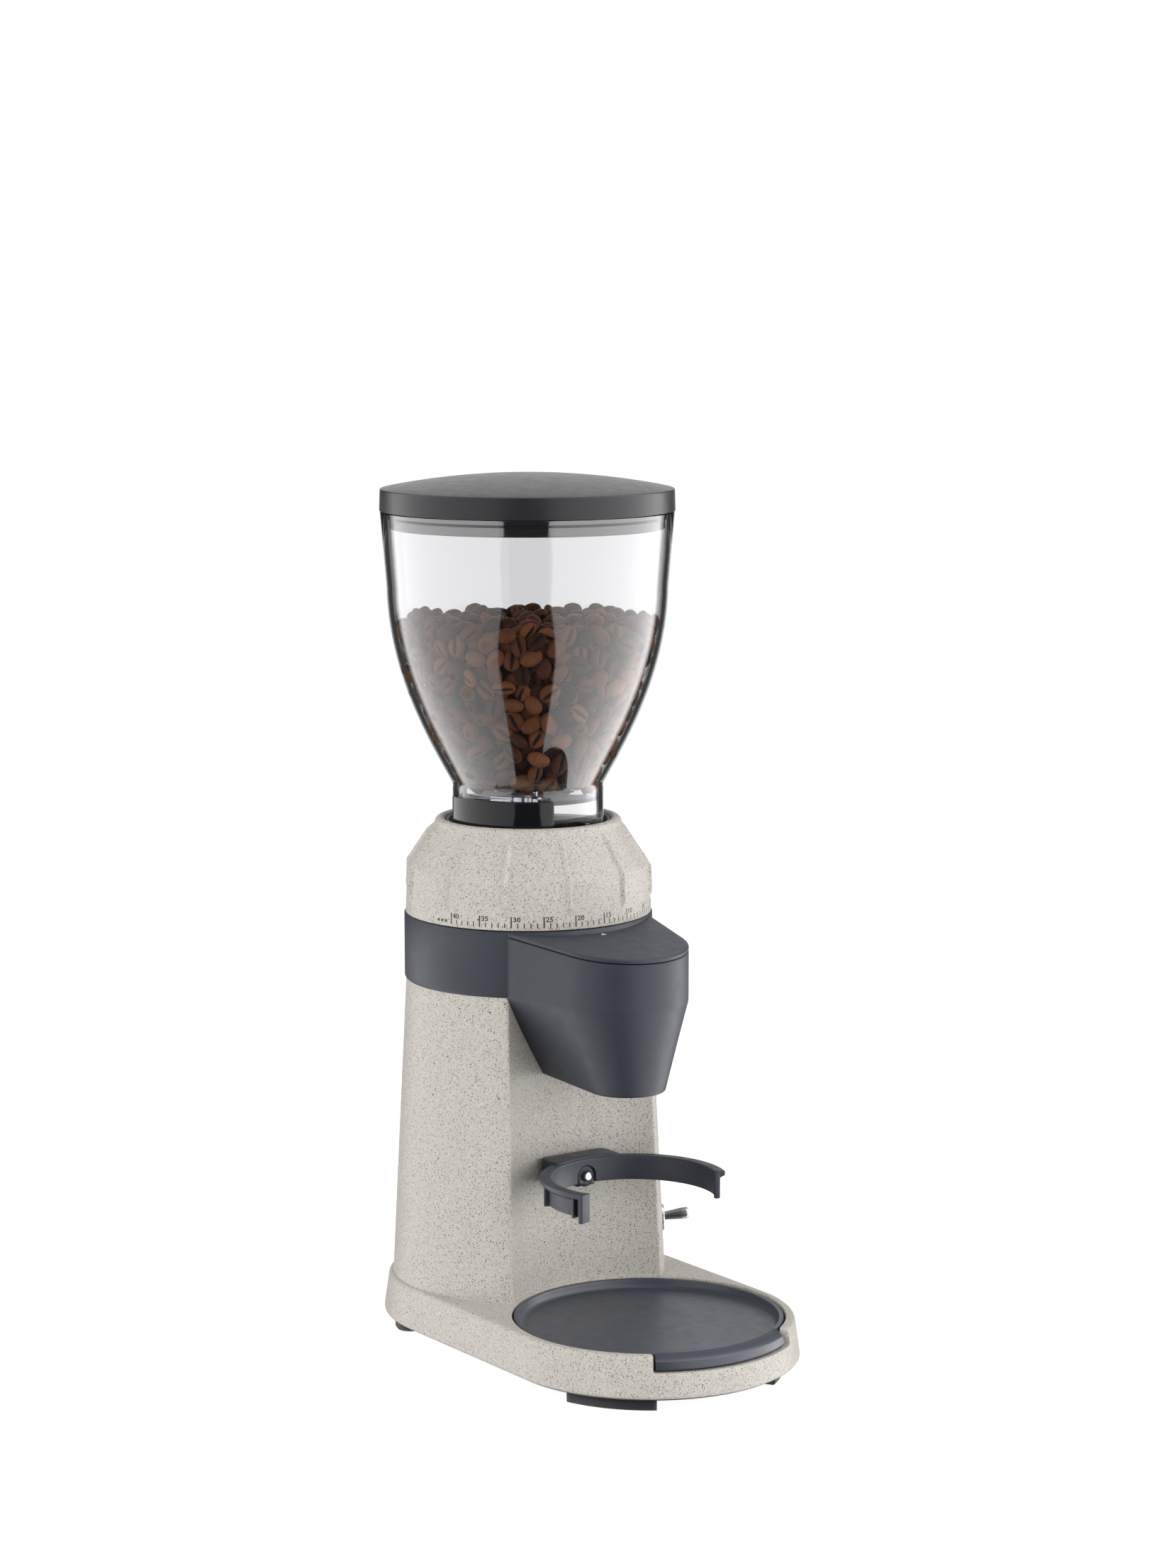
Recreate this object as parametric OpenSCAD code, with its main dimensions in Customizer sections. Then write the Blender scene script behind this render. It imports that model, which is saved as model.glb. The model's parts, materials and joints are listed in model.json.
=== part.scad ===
// Burr coffee grinder with a clear bean hopper, a grind dial, a spout and a portafilter fork.
// Millimetres. +Z is up, the front is -Y, and the origin is on the floor under the middle.

/* [Base] */
// Distance between the column's axis and the tray's axis
axis_gap = 93.5; // [92:0.5:95]
// Widest radius of the base, at both ends
base_r = 66.5; // [66:0.5:70]
// Height of the base's top face
base_top = 25.8; // [25:0.2:27]
// Height of the base's lower edge above the floor
base_lift = 7; // [6.5:0.5:7.5]
// Thickness of the cast and moulded walls
wall = 2.5; // [2:0.1:2.8]

/* [Tray] */
// Radius of the round well that holds the tray
well_r = 60.3; // [59:0.1:60.8]
// Height of the well's floor
well_floor = 14; // [13:0.5:15]
// Half angle of the notch in the base's front rim
notch_angle = 34.3; // [20:0.1:45]

/* [Column] */
// Radius of the column at its foot
column_r_low = 62.3; // [61:0.1:63]
// Radius of the column at its top
column_r_high = 55.5; // [55:0.1:56]
// Radius of the hollow front face at its foot, about the tray's axis
bay_r_low = 61.6; // [61:0.1:62]
// Radius of the hollow front face at the column's top, about the tray's axis
bay_r_high = 65.5; // [65:0.1:66]

/* [Head] */
// Height of the collar's lower edge, where the column ends
collar_low = 162.5; // [162:0.5:163]
// Height of the collar's top face
collar_top = 192; // [191.5:0.5:192]
// Outer radius of the collar
collar_r = 56.2; // [56:0.1:57]

/* [Dial] */
// Outer radius of the dial at its lower edge
dial_r = 55.6; // [55.5:0.1:56]
// Radius of the round opening in the dial's top
dial_bore_r = 37.2; // [37:0.1:37.5]
// Number of grip ridges
dial_ridges = 12; // [6:1:18]

/* [Hopper] */
// Outer radius of the hopper's neck
neck_r = 34.2; // [33.8:0.1:34.2]
// Height of the hopper's rim
hopper_top = 373.4; // [372:0.1:375]
// Thickness of the clear wall
hopper_wall = 2.6; // [2.2:0.1:2.8]
// Height of the coffee beans' surface
bean_level = 325; // [280:1:335]

/* [Fork] */
// Inner radius of the portafilter fork
fork_r = 36.4; // [36:0.1:37]
// Half angle of the fork's open front
fork_gap = 68; // [50:1:75]

/* [Gears] */
// Gear module of both stages
gear_module = 1; // [0.9:0.05:1]
// Teeth on each small gear
small_teeth = 12; // [12:1:12]
// Teeth on each large gear
large_teeth = 36; // [36:1:36]

/* [Hidden] */
$fn = 96;

stone = "#cdc7bd";
anthracite = "#4b4d53";
black = "#1d1e20";
clear = [0.85, 0.9, 0.92, 0.35];
steel = "#b9bcc0";
copper = "#a8653a";
brass = "#b79a55";

// Room left around anything that turns or slides, and the amount by which a cut runs past a face
running = 0.05;
past = 1;

// Axes of the column, the tray and the fork
col_y = axis_gap / 2;
tray_y = -axis_gap / 2;
fork_y = tray_y + 11.3;

// Height of the fork and of the start button
fork_low = 74.6;
fork_top = 85.5;
button_z = 77.7;

// Gears: centre distance and shaft positions, with the three shafts on an equal-sided triangle
gear_gap = gear_module * (small_teeth + large_teeth) / 2;
burr_at = [0, col_y, 0];
motor_at = [0, col_y + gear_gap, 0];
idler_at = [gear_gap * sin(60), col_y + gear_gap / 2, 0];
shaft_r = 4;
motor_shaft_r = 3;
bearing_r = 11;
bearing_h = 7;

// Toggle switch: turned this far from the right side towards the front, and its height
toggle_turn = -30;
toggle_z = 47.5;
toggle_tilt = 7;

// ---- Shared geometry ----

function slope(z, z0, r0, z1, r1) = r0 + (r1 - r0) * (z - z0) / (z1 - z0);
function column_r(z) = slope(z, base_top, column_r_low, collar_low, column_r_high);
function bay_r(z) = slope(z, base_top, bay_r_low, collar_low, bay_r_high);
function arc(centre, r, from, to, steps) =
    [for (i = [0:steps]) let (a = from + (to - from) * i / steps) centre + r * [cos(a), sin(a)]];
function bezier(p, steps) =
    [for (i = [0:steps]) let (t = i / steps, s = 1 - t)
        p[0] * s * s * s + p[1] * 3 * s * s * t + p[2] * 3 * s * t * t + p[3] * t * t * t];
function mirrored(points) = [for (i = [len(points) - 1:-1:0]) [-points[i][0], points[i][1]]];

// Turns children round the column's axis or the tray's axis; 0 degrees faces front
module at_column(turn = 0) translate([0, col_y, 0]) rotate([0, 0, turn - 90]) children();
module at_tray(turn = 0) translate([0, tray_y, 0]) rotate([0, 0, turn - 90]) children();

module tube(r_out, r_in, low, high) {
    difference() {
        translate([0, 0, low]) cylinder(r = r_out, h = high - low);
        translate([0, 0, low - past]) cylinder(r = r_in, h = high - low + 2 * past);
    }
}

module block(low, high) translate(low) cube(high - low);

// Pan-head screw standing on its head's underside, with its shank down
module screw(shank_r, length, head_r, head_h) {
    difference() {
        union() {
            translate([0, 0, -length]) cylinder(r = shank_r, h = length);
            cylinder(r = head_r, h = head_h);
        }
        translate([0, 0, head_h / 2]) cylinder(r = head_r / 2, h = head_h, $fn = 6);
    }
}

// A solid with one outline round both ends of the base and straight sides between them
module base_form(outline) {
    translate([0, col_y, 0]) rotate_extrude(angle = 180) polygon(outline);
    translate([0, tray_y, 0]) rotate([0, 0, 180]) rotate_extrude(angle = 180) polygon(outline);
    translate([0, col_y, 0]) rotate([90, 0, 0]) linear_extrude(axis_gap)
        polygon(concat([for (p = outline) if (p[0] > 0) p], mirrored([for (p = outline) if (p[0] > 0) p])));
}

// Cone that hollows the column's front, grown by gap
module bay_core(gap = 0, low = base_top - 5, high = collar_low + 5) {
    translate([0, tray_y, low]) cylinder(r1 = bay_r(low) + gap, r2 = bay_r(high) + gap, h = high - low);
}

module column_form(inset, low, high) {
    difference() {
        translate([0, col_y, low]) cylinder(r1 = column_r(low) - inset, r2 = column_r(high) - inset, h = high - low);
        bay_core(inset, low - past, high + past);
    }
}

// ---- Base ----

base_edge = 2;
base_r_high = base_r - 2.1;

module base() {
    top_edge = arc([base_r_high - base_edge, base_top - base_edge], base_edge, 0, 90, 5);
    low_edge = arc([base_r - base_edge, base_lift + base_edge], base_edge, -90, 0, 5);
    low_cavity = [base_r - 3, base_lift - past];
    high_cavity = [base_r_high - 3, base_top - wall];
    color(stone) difference() {
        base_form(concat([[0, base_lift]], low_edge, top_edge, [[0, base_top]]));
        difference() {
            base_form([[0, base_lift - past], low_cavity, high_cavity, [0, base_top - wall]]);
            translate([0, tray_y, well_floor - wall]) cylinder(r = well_r + wall, h = base_top);
        }
        translate([0, tray_y, well_floor]) cylinder(r = well_r, h = base_top);
        at_tray(-notch_angle) rotate_extrude(angle = 2 * notch_angle)
            translate([well_r - past, notch_low]) square([base_r, base_top]);
        translate([0, col_y + 10, base_top - 5]) cylinder(r = 34, h = 6);
        translate([0, col_y + base_r - 9, gland_z]) rotate([-90, 0, 0]) cylinder(r = gland_r, h = 12);
        for (p = column_screw_at) translate([p[0], p[1], base_top - 5]) cylinder(r = 1.7, h = 6);
    }
    color(stone) for (p = plate_screw_at) translate([p[0], p[1], plate_top]) difference() {
        cylinder(r = 4, h = p[2] - plate_top);
        translate([0, 0, -past]) cylinder(r = 1.6, h = 4);
    }
}

notch_low = 18.3;
plate_low = 6;
plate_top = 8;

module bottom_plate() {
    color(black) difference() {
        base_form([[0, plate_low], [base_r - 3.3, plate_low], [base_r - 3.3, plate_top], [0, plate_top]]);
        for (side = [-1, 1], i = [0:4]) translate([side * 8 * (i + 0.5), col_y - 8, plate_low - past])
            cylinder(r = 2, h = 4);
        for (p = plate_screw_at) translate([p[0], p[1], plate_low - past]) cylinder(r = 1.7, h = 4);
    }
}

front_foot_out = 59;
front_foot_in = 50.5;

// One of the two curved front pads, centred this many degrees from the front
module front_foot(middle) {
    outline = concat(arc([front_foot_out - 1, 1], 1, -90, 0, 4), [[front_foot_out, plate_low],
        [front_foot_in, plate_low]], arc([front_foot_in + 1, 1], 1, 180, 270, 4));
    color(black) at_tray(middle - 20) rotate_extrude(angle = 40) polygon(outline);
}

module front_foot_left() front_foot(-52.6);
module front_foot_right() front_foot(52.6);

module rear_foot(side) {
    color(black) translate([side * 51, col_y + 21.5, 0]) {
        cylinder(r1 = 6, r2 = 7, h = 1.5);
        translate([0, 0, 1.5]) cylinder(r = 7, h = plate_low - 1.5);
    }
}

module rear_foot_left() rear_foot(-1);
module rear_foot_right() rear_foot(1);

// Screws up through the base into the column, and up through the plate into the base's bosses
column_screw_at = [for (side = [-1, 1], dy = [-6, 36]) [side * 42, col_y + dy]];
plate_screw_at = concat([for (side = [-1, 1]) [side * 25, col_y + 51, base_top - wall]],
    [for (side = [-1, 1]) [side * 45, tray_y - 13, well_floor - wall]]);

module housing_screws() {
    color(steel) {
        for (p = column_screw_at) translate([p[0], p[1], base_top - wall]) rotate([180, 0, 0])
            screw(1.6, wall + 2.8, 3, 2);
        for (p = plate_screw_at) translate([p[0], p[1], plate_low]) rotate([180, 0, 0])
            screw(1.6, 4, 3, 1.6);
    }
}

gland_z = 16;
gland_r = 5.5;
gland_bore_r = 3.5;

module cord_gland() {
    color(black) translate([0, col_y + base_r - 9, gland_z]) rotate([-90, 0, 0]) difference() {
        cylinder(r = gland_r - 0.05, h = 8.5);
        translate([0, 0, -past]) cylinder(r = gland_bore_r, h = 12);
    }
}

// ---- Tray ----

tray_r = well_r - 1;
tray_rim = 2;
tray_top = base_top - 0.6;
tray_deck = tray_top - 4;

module tray() {
    lip = [[tray_r - 1, notch_low + 0.5], [tray_r + 3.6, notch_low + 0.5], [tray_r + 4.3, notch_low + 1.3],
        [tray_r + 3.2, tray_top - 2.3], [tray_r, tray_top - 0.2], [tray_r - 1, tray_top - 0.2]];
    lip_angle = notch_angle - 0.9;
    color(anthracite) {
        translate([0, tray_y, tray_deck - 2]) cylinder(r = tray_r - tray_rim / 2, h = 2);
        translate([0, tray_y, 0]) tube(tray_r, tray_r - tray_rim, well_floor, tray_top);
        at_tray(-lip_angle) rotate_extrude(angle = 2 * lip_angle) polygon(lip);
    }
}

// ---- Column ----

module column() {
    color(stone) difference() {
        column_form(0, base_top, collar_low);
        column_form(wall, base_top + 3, collar_low + past);
        translate([0, col_y + 10, base_top - past]) cylinder(r = 34, h = 8);
        for (p = column_screw_at) translate([p[0], p[1], base_top - past]) cylinder(r = 1.7, h = 8);
        translate([0, -10, button_z]) rotate([-90, 0, 0]) cylinder(r = 2.6, h = 40);
        bracket_screw_frame() translate([0, 0, -10]) cylinder(r = 1.2, h = 20);
        toggle_frame() translate([0, 0, -12]) cylinder(r = toggle_bush_r, h = 20);
        toggle_frame() translate([0, 0, toggle_seat]) cylinder(r = toggle_flange_r + 0.1, h = 5);
    }
}

// Puts children on the column's side, with +Z straight out of the wall and the origin on it
module toggle_frame() {
    translate([0, col_y, toggle_z]) rotate([0, 0, toggle_turn]) translate([column_r(toggle_z), 0, 0])
        rotate([0, 90, 0]) children();
}

toggle_bush_r = 5;
toggle_flange_r = 6.2;
toggle_seat = -0.6;
toggle_pivot = -4;

module toggle_bush() {
    color(steel) toggle_frame() difference() {
        union() {
            translate([0, 0, -9]) cylinder(r = toggle_bush_r, h = 9);
            translate([0, 0, toggle_seat]) cylinder(r = toggle_flange_r, h = 1.4);
        }
        translate([0, 0, -10]) cylinder(r = 3.3, h = 10 + toggle_pivot + 1);
        translate([0, 0, toggle_pivot]) cylinder(r1 = 3.3, r2 = 4.4, h = 6);
    }
}

module toggle_nut() {
    color(brass) toggle_frame() difference() {
        translate([0, 0, -5.6]) cylinder(r = 8, h = 2.4, $fn = 6);
        translate([0, 0, -10]) cylinder(r = toggle_bush_r, h = 12);
    }
}

module toggle_switch_body() {
    color(black) toggle_frame() {
        translate([-10, -6.5, -24]) cube([20, 13, 15]);
        for (x = [-6, 0, 6]) translate([x - 0.4, -2, -30]) cube([0.8, 4, 6]);
    }
}

module toggle_lever() {
    color(steel) toggle_frame() translate([0, 0, toggle_pivot]) rotate([0, -toggle_tilt, 0]) {
        sphere(r = 2.9);
        rotate([90, 0, 0]) cylinder(r = 0.9, h = 6.2, center = true);
        cylinder(r1 = 1.7, r2 = 2.5, h = 12.5);
        translate([0, 0, 12.5]) cylinder(r = 2.5, h = 1.6);
        translate([0, 0, 14.1]) intersection() {
            sphere(r = 2.5);
            cylinder(r = 3, h = 3);
        }
    }
}

// ---- Fork, its bracket and the start button ----

arch_r = 4.8;
slot_gap = 0.3;
bracket_low = fork_low - 1.2;
bracket_top = fork_top - 2.2;

// Puts children at each bracket screw's head, inside the column, with +Z pointing back into it
module bracket_screw_frame() {
    for (side = [-1, 1]) translate([side * 3.9, 19, button_z + 2.6]) rotate([-90, 0, 0]) children();
}

module fork_bracket() {
    color(anthracite) difference() {
        intersection() {
            union() {
                block([-5.5, 11, bracket_low], [5.5, 24, bracket_top]);
                block([-9, 7.3, bracket_low], [9, 11, bracket_top]);
                block([-arch_r, 1.4, bracket_low], [arch_r, 8, button_z]);
                translate([0, 1.4, button_z]) rotate([-90, 0, 0]) cylinder(r = arch_r, h = 6.6);
            }
            bay_core(0);
        }
        translate([0, 0, button_z]) rotate([-90, 0, 0]) cylinder(r = button_r + running, h = 30);
        bracket_screw_frame() translate([0, 0, -10]) cylinder(r = 1.15, h = 20);
    }
}

module bracket_screws() {
    color(steel) bracket_screw_frame() screw(1.1, 9, 2, 1.2);
}

fork_wall = 2.2;
fork_flange = 5.1;

module fork() {
    sweep = 360 - 2 * fork_gap;
    shell = [[fork_r, fork_low], [fork_r + fork_wall, fork_low], [fork_r + fork_wall, fork_top - 3.4],
        [fork_r + fork_flange, fork_top - 2], [fork_r + fork_flange, fork_top],
        [fork_r + 1, fork_top], [fork_r, fork_top - 1]];
    color(anthracite) difference() {
        union() {
            translate([0, fork_y, 0]) rotate([0, 0, fork_gap - 90]) rotate_extrude(angle = sweep) polygon(shell);
            for (side = [-1, 1]) translate([0, fork_y, 0]) {
                reach = side < 0 ? 6.4 : 2.8;
                rotate([0, 0, side * (fork_gap + 1.5) - 90])
                    block([fork_r + 0.4, -1.2, fork_low - 1.6], [fork_r + reach, 1.2, fork_top]);
                for (a = [78, 84, 112]) rotate([0, 0, side * a - 90])
                    block([fork_r + 1, -0.7, fork_low - 0.4], [fork_r + 4.2, 0.7, fork_top - 1.5]);
            }
            difference() {
                block([-17.5, -1, fork_low], [17.5, 13, fork_top + 0.7]);
                translate([0, fork_y, 0]) cylinder(r = fork_r + 1, h = fork_top + 2);
            }
        }
        block([-9 - slot_gap, 7.3 - slot_gap, fork_low - 2], [9 + slot_gap, 11 + slot_gap, bracket_top + 0.1]);
        block([-5.5 - slot_gap, 11, fork_low - 2], [5.5 + slot_gap, 15, bracket_top + 0.1]);
        block([-arch_r - slot_gap, -2, fork_low - 2], [arch_r + slot_gap, 8, button_z]);
        translate([0, -2, button_z]) rotate([-90, 0, 0]) cylinder(r = arch_r + slot_gap, h = 10);
    }
}

button_r = 1.9;
button_tip = -0.75;
button_travel = 3;
button_collar_at = 21;
spring_end = 29;

module start_button() {
    color(steel) translate([0, button_tip, button_z]) rotate([-90, 0, 0]) {
        cylinder(r = button_r, h = spring_end + 2 - button_tip);
        translate([0, 0, button_collar_at - button_tip]) cylinder(r = 4, h = 1.4);
    }
}

// Points of a tube swept round a coil about +Z, with one ring of points at each step
coil_sides = 6;
coil_steps = 14;
coil_turns = 5;

module coil_spring(r, wire_r, length) {
    n = coil_steps * coil_turns;
    points = [for (i = [0:n], k = [0:coil_sides - 1])
        let (a = 360 * i / coil_steps, b = 360 * k / coil_sides, q = r + wire_r * cos(b))
            [q * cos(a), q * sin(a), length * i / n + wire_r * sin(b)]];
    sides = [for (i = [0:n - 1], k = [0:coil_sides - 1])
        let (j = (k + 1) % coil_sides, low = i * coil_sides, high = low + coil_sides)
            [low + k, high + k, high + j, low + j]];
    start = [for (k = [0:coil_sides - 1]) k];
    end = [for (k = [coil_sides - 1:-1:0]) n * coil_sides + k];
    polyhedron(points, concat([start, end], sides));
}

module button_spring() {
    spring_wire = 0.35;
    spring_start = button_collar_at + 1.4 + spring_wire + running;
    color(steel) translate([0, spring_start, button_z]) rotate([-90, 0, 0])
        coil_spring(3, spring_wire, spring_end - spring_start - spring_wire - running);
}

// Switch that the start button presses, on an upright plate that also seats the spring
module microswitch() {
    color(black) difference() {
        union() {
            block([-9, spring_end, button_z - 7], [9, spring_end + 1.5, button_z + 9]);
            block([-9, spring_end + 1.5, button_z + 2.6], [9, spring_end + 9, button_z + 9]);
            for (side = [-1, 1]) block([side * 8 - 1, 19.4, button_z + 5], [side * 8 + 1, spring_end, button_z + 9]);
        }
        translate([0, spring_end - past, button_z]) rotate([-90, 0, 0]) cylinder(r = button_r + running, h = 4);
    }
}

// ---- Control board ----

board_y = 31;

module control_board() {
    color("#2f6b45") block([-22, board_y, 34], [22, board_y + 1.6, 64]);
    color(black) {
        block([-18, board_y + 1.6, 50], [-4, board_y + 10, 61]);
        block([4, board_y + 1.6, 38], [18, board_y + 7, 46]);
        translate([-11, board_y + 1.6, 42]) rotate([-90, 0, 0]) cylinder(r = 4.5, h = 9);
    }
}

module board_standoffs() {
    color(brass) intersection() {
        for (x = [-19, 19], z = [37, 61]) translate([x, 8, z]) rotate([-90, 0, 0]) cylinder(r = 2, h = board_y - 8);
        difference() {
            block([-40, -10, 30], [40, board_y, 70]);
            bay_core(wall);
        }
    }
}

// ---- Motor ----

motor_r = 27;
motor_low = 50;
motor_top = 114;
bell_top = 118;

module motor_can() {
    color(steel) translate(motor_at) difference() {
        translate([0, 0, motor_low]) cylinder(r = motor_r, h = motor_top - motor_low);
        translate([0, 0, motor_low + 2]) cylinder(r = motor_r - 1.5, h = motor_top);
        translate([0, 0, motor_low - past]) cylinder(r = motor_shaft_r + running, h = 5);
        for (a = [0:60:300]) rotate([0, 0, a]) translate([16, 0, motor_low - past]) cylinder(r = 4, h = 5);
    }
}

module motor_end_bell() {
    color(steel) translate(motor_at) difference() {
        union() {
            translate([0, 0, motor_top]) cylinder(r = motor_r, h = bell_top - motor_top);
            translate([0, 0, bell_top]) cylinder(r = 9, h = gearbox_low - bell_top);
            for (a = bell_post_turns) rotate([0, 0, a]) translate([14, 0, bell_top])
                cylinder(r = 3.5, h = gearbox_low - bell_top);
        }
        translate([0, 0, motor_top - past]) cylinder(r = motor_shaft_r + running, h = 20);
        for (a = bell_post_turns) rotate([0, 0, a]) translate([14, 0, motor_top - past]) cylinder(r = 1.6, h = 20);
        for (a = [30:60:330]) rotate([0, 0, a + 30]) translate([21.5, 0, motor_top - past]) cylinder(r = 2.5, h = 6);
    }
}

bell_post_turns = [30, 90, 150];

module motor_screws() {
    color(steel) translate(motor_at) for (a = bell_post_turns) rotate([0, 0, a]) translate([14, 0, motor_top])
        rotate([180, 0, 0]) screw(1.5, gearbox_low - motor_top + 2.4, 2.6, 2);
}

module stator_core() {
    color("#6e7276") translate(motor_at) tube(motor_r - 1.5, 15.8, 68, 94);
    color(copper) translate(motor_at) {
        tube(24, 17, 94, 98);
        tube(24, 17, 64, 68);
    }
}

module brush_holders() {
    color(brass) translate(motor_at) for (a = [0, 180]) rotate([0, 0, a])
        block([8.1, -3, 54], [motor_r - 1.7, 3, 60]);
}

module motor_shaft() {
    color(steel) translate(motor_at) translate([0, 0, motor_low]) cylinder(r = motor_shaft_r, h = 92);
}

module on_motor_shaft(low, high) {
    translate(motor_at) difference() {
        children();
        translate([0, 0, low - past]) cylinder(r = motor_shaft_r, h = high - low + 2 * past);
    }
}

module armature() {
    color("#7b7f84") on_motor_shaft(66, 96) difference() {
        translate([0, 0, 68]) cylinder(r = 15.2, h = 26);
        for (a = [0:30:330]) rotate([0, 0, a]) block([11, -1.2, 67], [16, 1.2, 95]);
    }
    color(copper) on_motor_shaft(60, 100) {
        translate([0, 0, 94]) cylinder(r = 12.5, h = 4);
        translate([0, 0, 64]) cylinder(r = 12.5, h = 4);
    }
}

module commutator() {
    color(copper) on_motor_shaft(53, 64) difference() {
        translate([0, 0, 53]) cylinder(r = 8, h = 9);
        for (a = [0:30:330]) rotate([0, 0, a]) block([7.2, -0.2, 52], [9, 0.2, 63]);
    }
}

module cooling_fan() {
    color(black) on_motor_shaft(100, 112) {
        translate([0, 0, 101]) cylinder(r = 22, h = 1.5);
        translate([0, 0, 101]) cylinder(r = 5.5, h = 9);
        for (a = [0:40:320]) rotate([0, 0, a]) rotate([0, 0, 14]) block([5, -0.6, 102], [21.5, 0.6, 110]);
    }
}

// ---- Gearbox ----

gearbox_low = 127;
gearbox_top = 155;
gearbox_lid = 158;
stage_one = [132.5, 140.5];
stage_two = [143, 152];
pressure_angle = 25;
backlash = 0.12;

// Involute of a circle, in degrees, at the given roll angle
function involute(a) = tan(a) * 180 / PI - a;

function gear_outline(teeth, phase) = let (
    pitch = gear_module * teeth / 2,
    base = pitch * cos(pressure_angle),
    tip = pitch + 0.9 * gear_module,
    root = pitch - 1.15 * gear_module,
    first = max(base, root),
    half = (90 - backlash / gear_module * 180 / PI) / teeth + involute(pressure_angle),
    flank = [for (i = [0:3]) let (r = first + (tip - first) * i / 3) [r, half - involute(acos(base / r))]],
    tooth = concat([[root, -flank[0][1]]], [for (f = flank) [f[0], -f[1]]],
        [for (i = [3:-1:0]) flank[i]], [[root, flank[0][1]]]))
    [for (k = [0:teeth - 1], p = tooth) let (a = phase + 360 * k / teeth + p[1]) p[0] * [cos(a), sin(a)]];

// Phase that puts a gear in mesh with one of the given teeth and phase, in the given direction from it
function meshing(teeth, phase, direction, own_teeth) =
    direction + 180 - ((phase - direction) * teeth / 360 + 0.5) * 360 / own_teeth;

function direction(from, to) = atan2(to[1] - from[1], to[0] - from[0]);

idler_phase = meshing(small_teeth, 0, direction(motor_at, idler_at), large_teeth);
output_phase = meshing(small_teeth, 0, direction(idler_at, burr_at), large_teeth);

module spur(at, teeth, phase, low, high, bore_r) {
    translate(at) difference() {
        translate([0, 0, low]) linear_extrude(high - low) polygon(gear_outline(teeth, phase));
        translate([0, 0, low - past]) cylinder(r = bore_r, h = high - low + 2 * past);
    }
}

module motor_pinion() color(steel) spur(motor_at, small_teeth, 0, 131.5, 141.5, motor_shaft_r);

module idler_gear() {
    color(stone) spur(idler_at, large_teeth, idler_phase, stage_one[0], stage_one[1], motor_shaft_r + running);
    color(stone) spur(idler_at, small_teeth, 0, stage_one[1], stage_two[1] + 1, motor_shaft_r + running);
}

module output_gear() {
    color(stone) spur(burr_at, large_teeth, output_phase, stage_two[0], stage_two[1], shaft_r);
    color(stone) translate(burr_at) tube(8, shaft_r, stage_two[0] - 2, stage_two[0]);
}

module idler_pin() {
    color(steel) translate(idler_at) translate([0, 0, gearbox_low + 0.5])
        cylinder(r = motor_shaft_r, h = gearbox_lid - gearbox_low - 1);
}

// Plan of the gearbox: one round lobe over each shaft, shrunk by inset
module gearbox_plan(inset, low, high) {
    for (lobe = [[burr_at, 22.6], [idler_at, 22.6], [motor_at, 12]])
        translate(lobe[0]) translate([0, 0, low]) cylinder(r = lobe[1] - inset, h = high - low);
}

gearbox_post_at = [[-15, col_y + 14.5], [-15, col_y - 14.5], [38, col_y + 18], [27, col_y - 6]];

module gearbox_housing() {
    color("#8d9095") difference() {
        union() {
            gearbox_plan(0, gearbox_low, gearbox_top);
            translate(burr_at) translate([0, 0, gearbox_low - 5]) cylinder(r = 13.5, h = 6);
        }
        gearbox_plan(2.4, gearbox_low + 3, gearbox_top + past);
        translate(burr_at) translate([0, 0, gearbox_low - 4]) cylinder(r = bearing_r, h = bearing_h);
        translate(burr_at) translate([0, 0, gearbox_low - 6]) cylinder(r = 8, h = 12);
        translate(motor_at) translate([0, 0, gearbox_low - past]) cylinder(r = 5, h = 6);
        translate(motor_at) for (a = bell_post_turns) rotate([0, 0, a]) translate([14, 0, gearbox_low - past])
            cylinder(r = 1.5, h = 3.4);
        translate(idler_at) translate([0, 0, gearbox_low + 0.5]) cylinder(r = motor_shaft_r, h = 4);
    }
}

module gearbox_cover() {
    color("#8d9095") difference() {
        union() {
            gearbox_plan(0, gearbox_top, gearbox_lid);
            for (p = gearbox_post_at) translate([p[0], p[1], gearbox_lid]) cylinder(r = 4, h = collar_low - gearbox_lid);
        }
        translate(burr_at) translate([0, 0, gearbox_top - past]) cylinder(r = 9, h = 6);
        translate(idler_at) translate([0, 0, gearbox_top - past]) cylinder(r = motor_shaft_r, h = 3.5);
        for (p = gearbox_post_at) translate([p[0], p[1], gearbox_lid]) cylinder(r = 1.6, h = 6);
    }
}

module gearbox_screws() {
    color(steel) for (p = gearbox_post_at) translate([p[0], p[1], collar_floor - 1.9])
        screw(1.5, 5, 2.8, 1.8);
}

module bearing(low) {
    color(steel) translate(burr_at) tube(bearing_r, shaft_r + running, low, low + bearing_h);
}

module lower_shaft_bearing() bearing(gearbox_low - 4);
module upper_shaft_bearing() bearing(collar_floor);

// ---- Collar and spout ----

collar_wall = 2.8;
collar_floor = collar_low + 3;
spigot_r = dial_r - 2.9 - running;
duct = [[-12, 169.5], [12, 186.5]];

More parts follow.
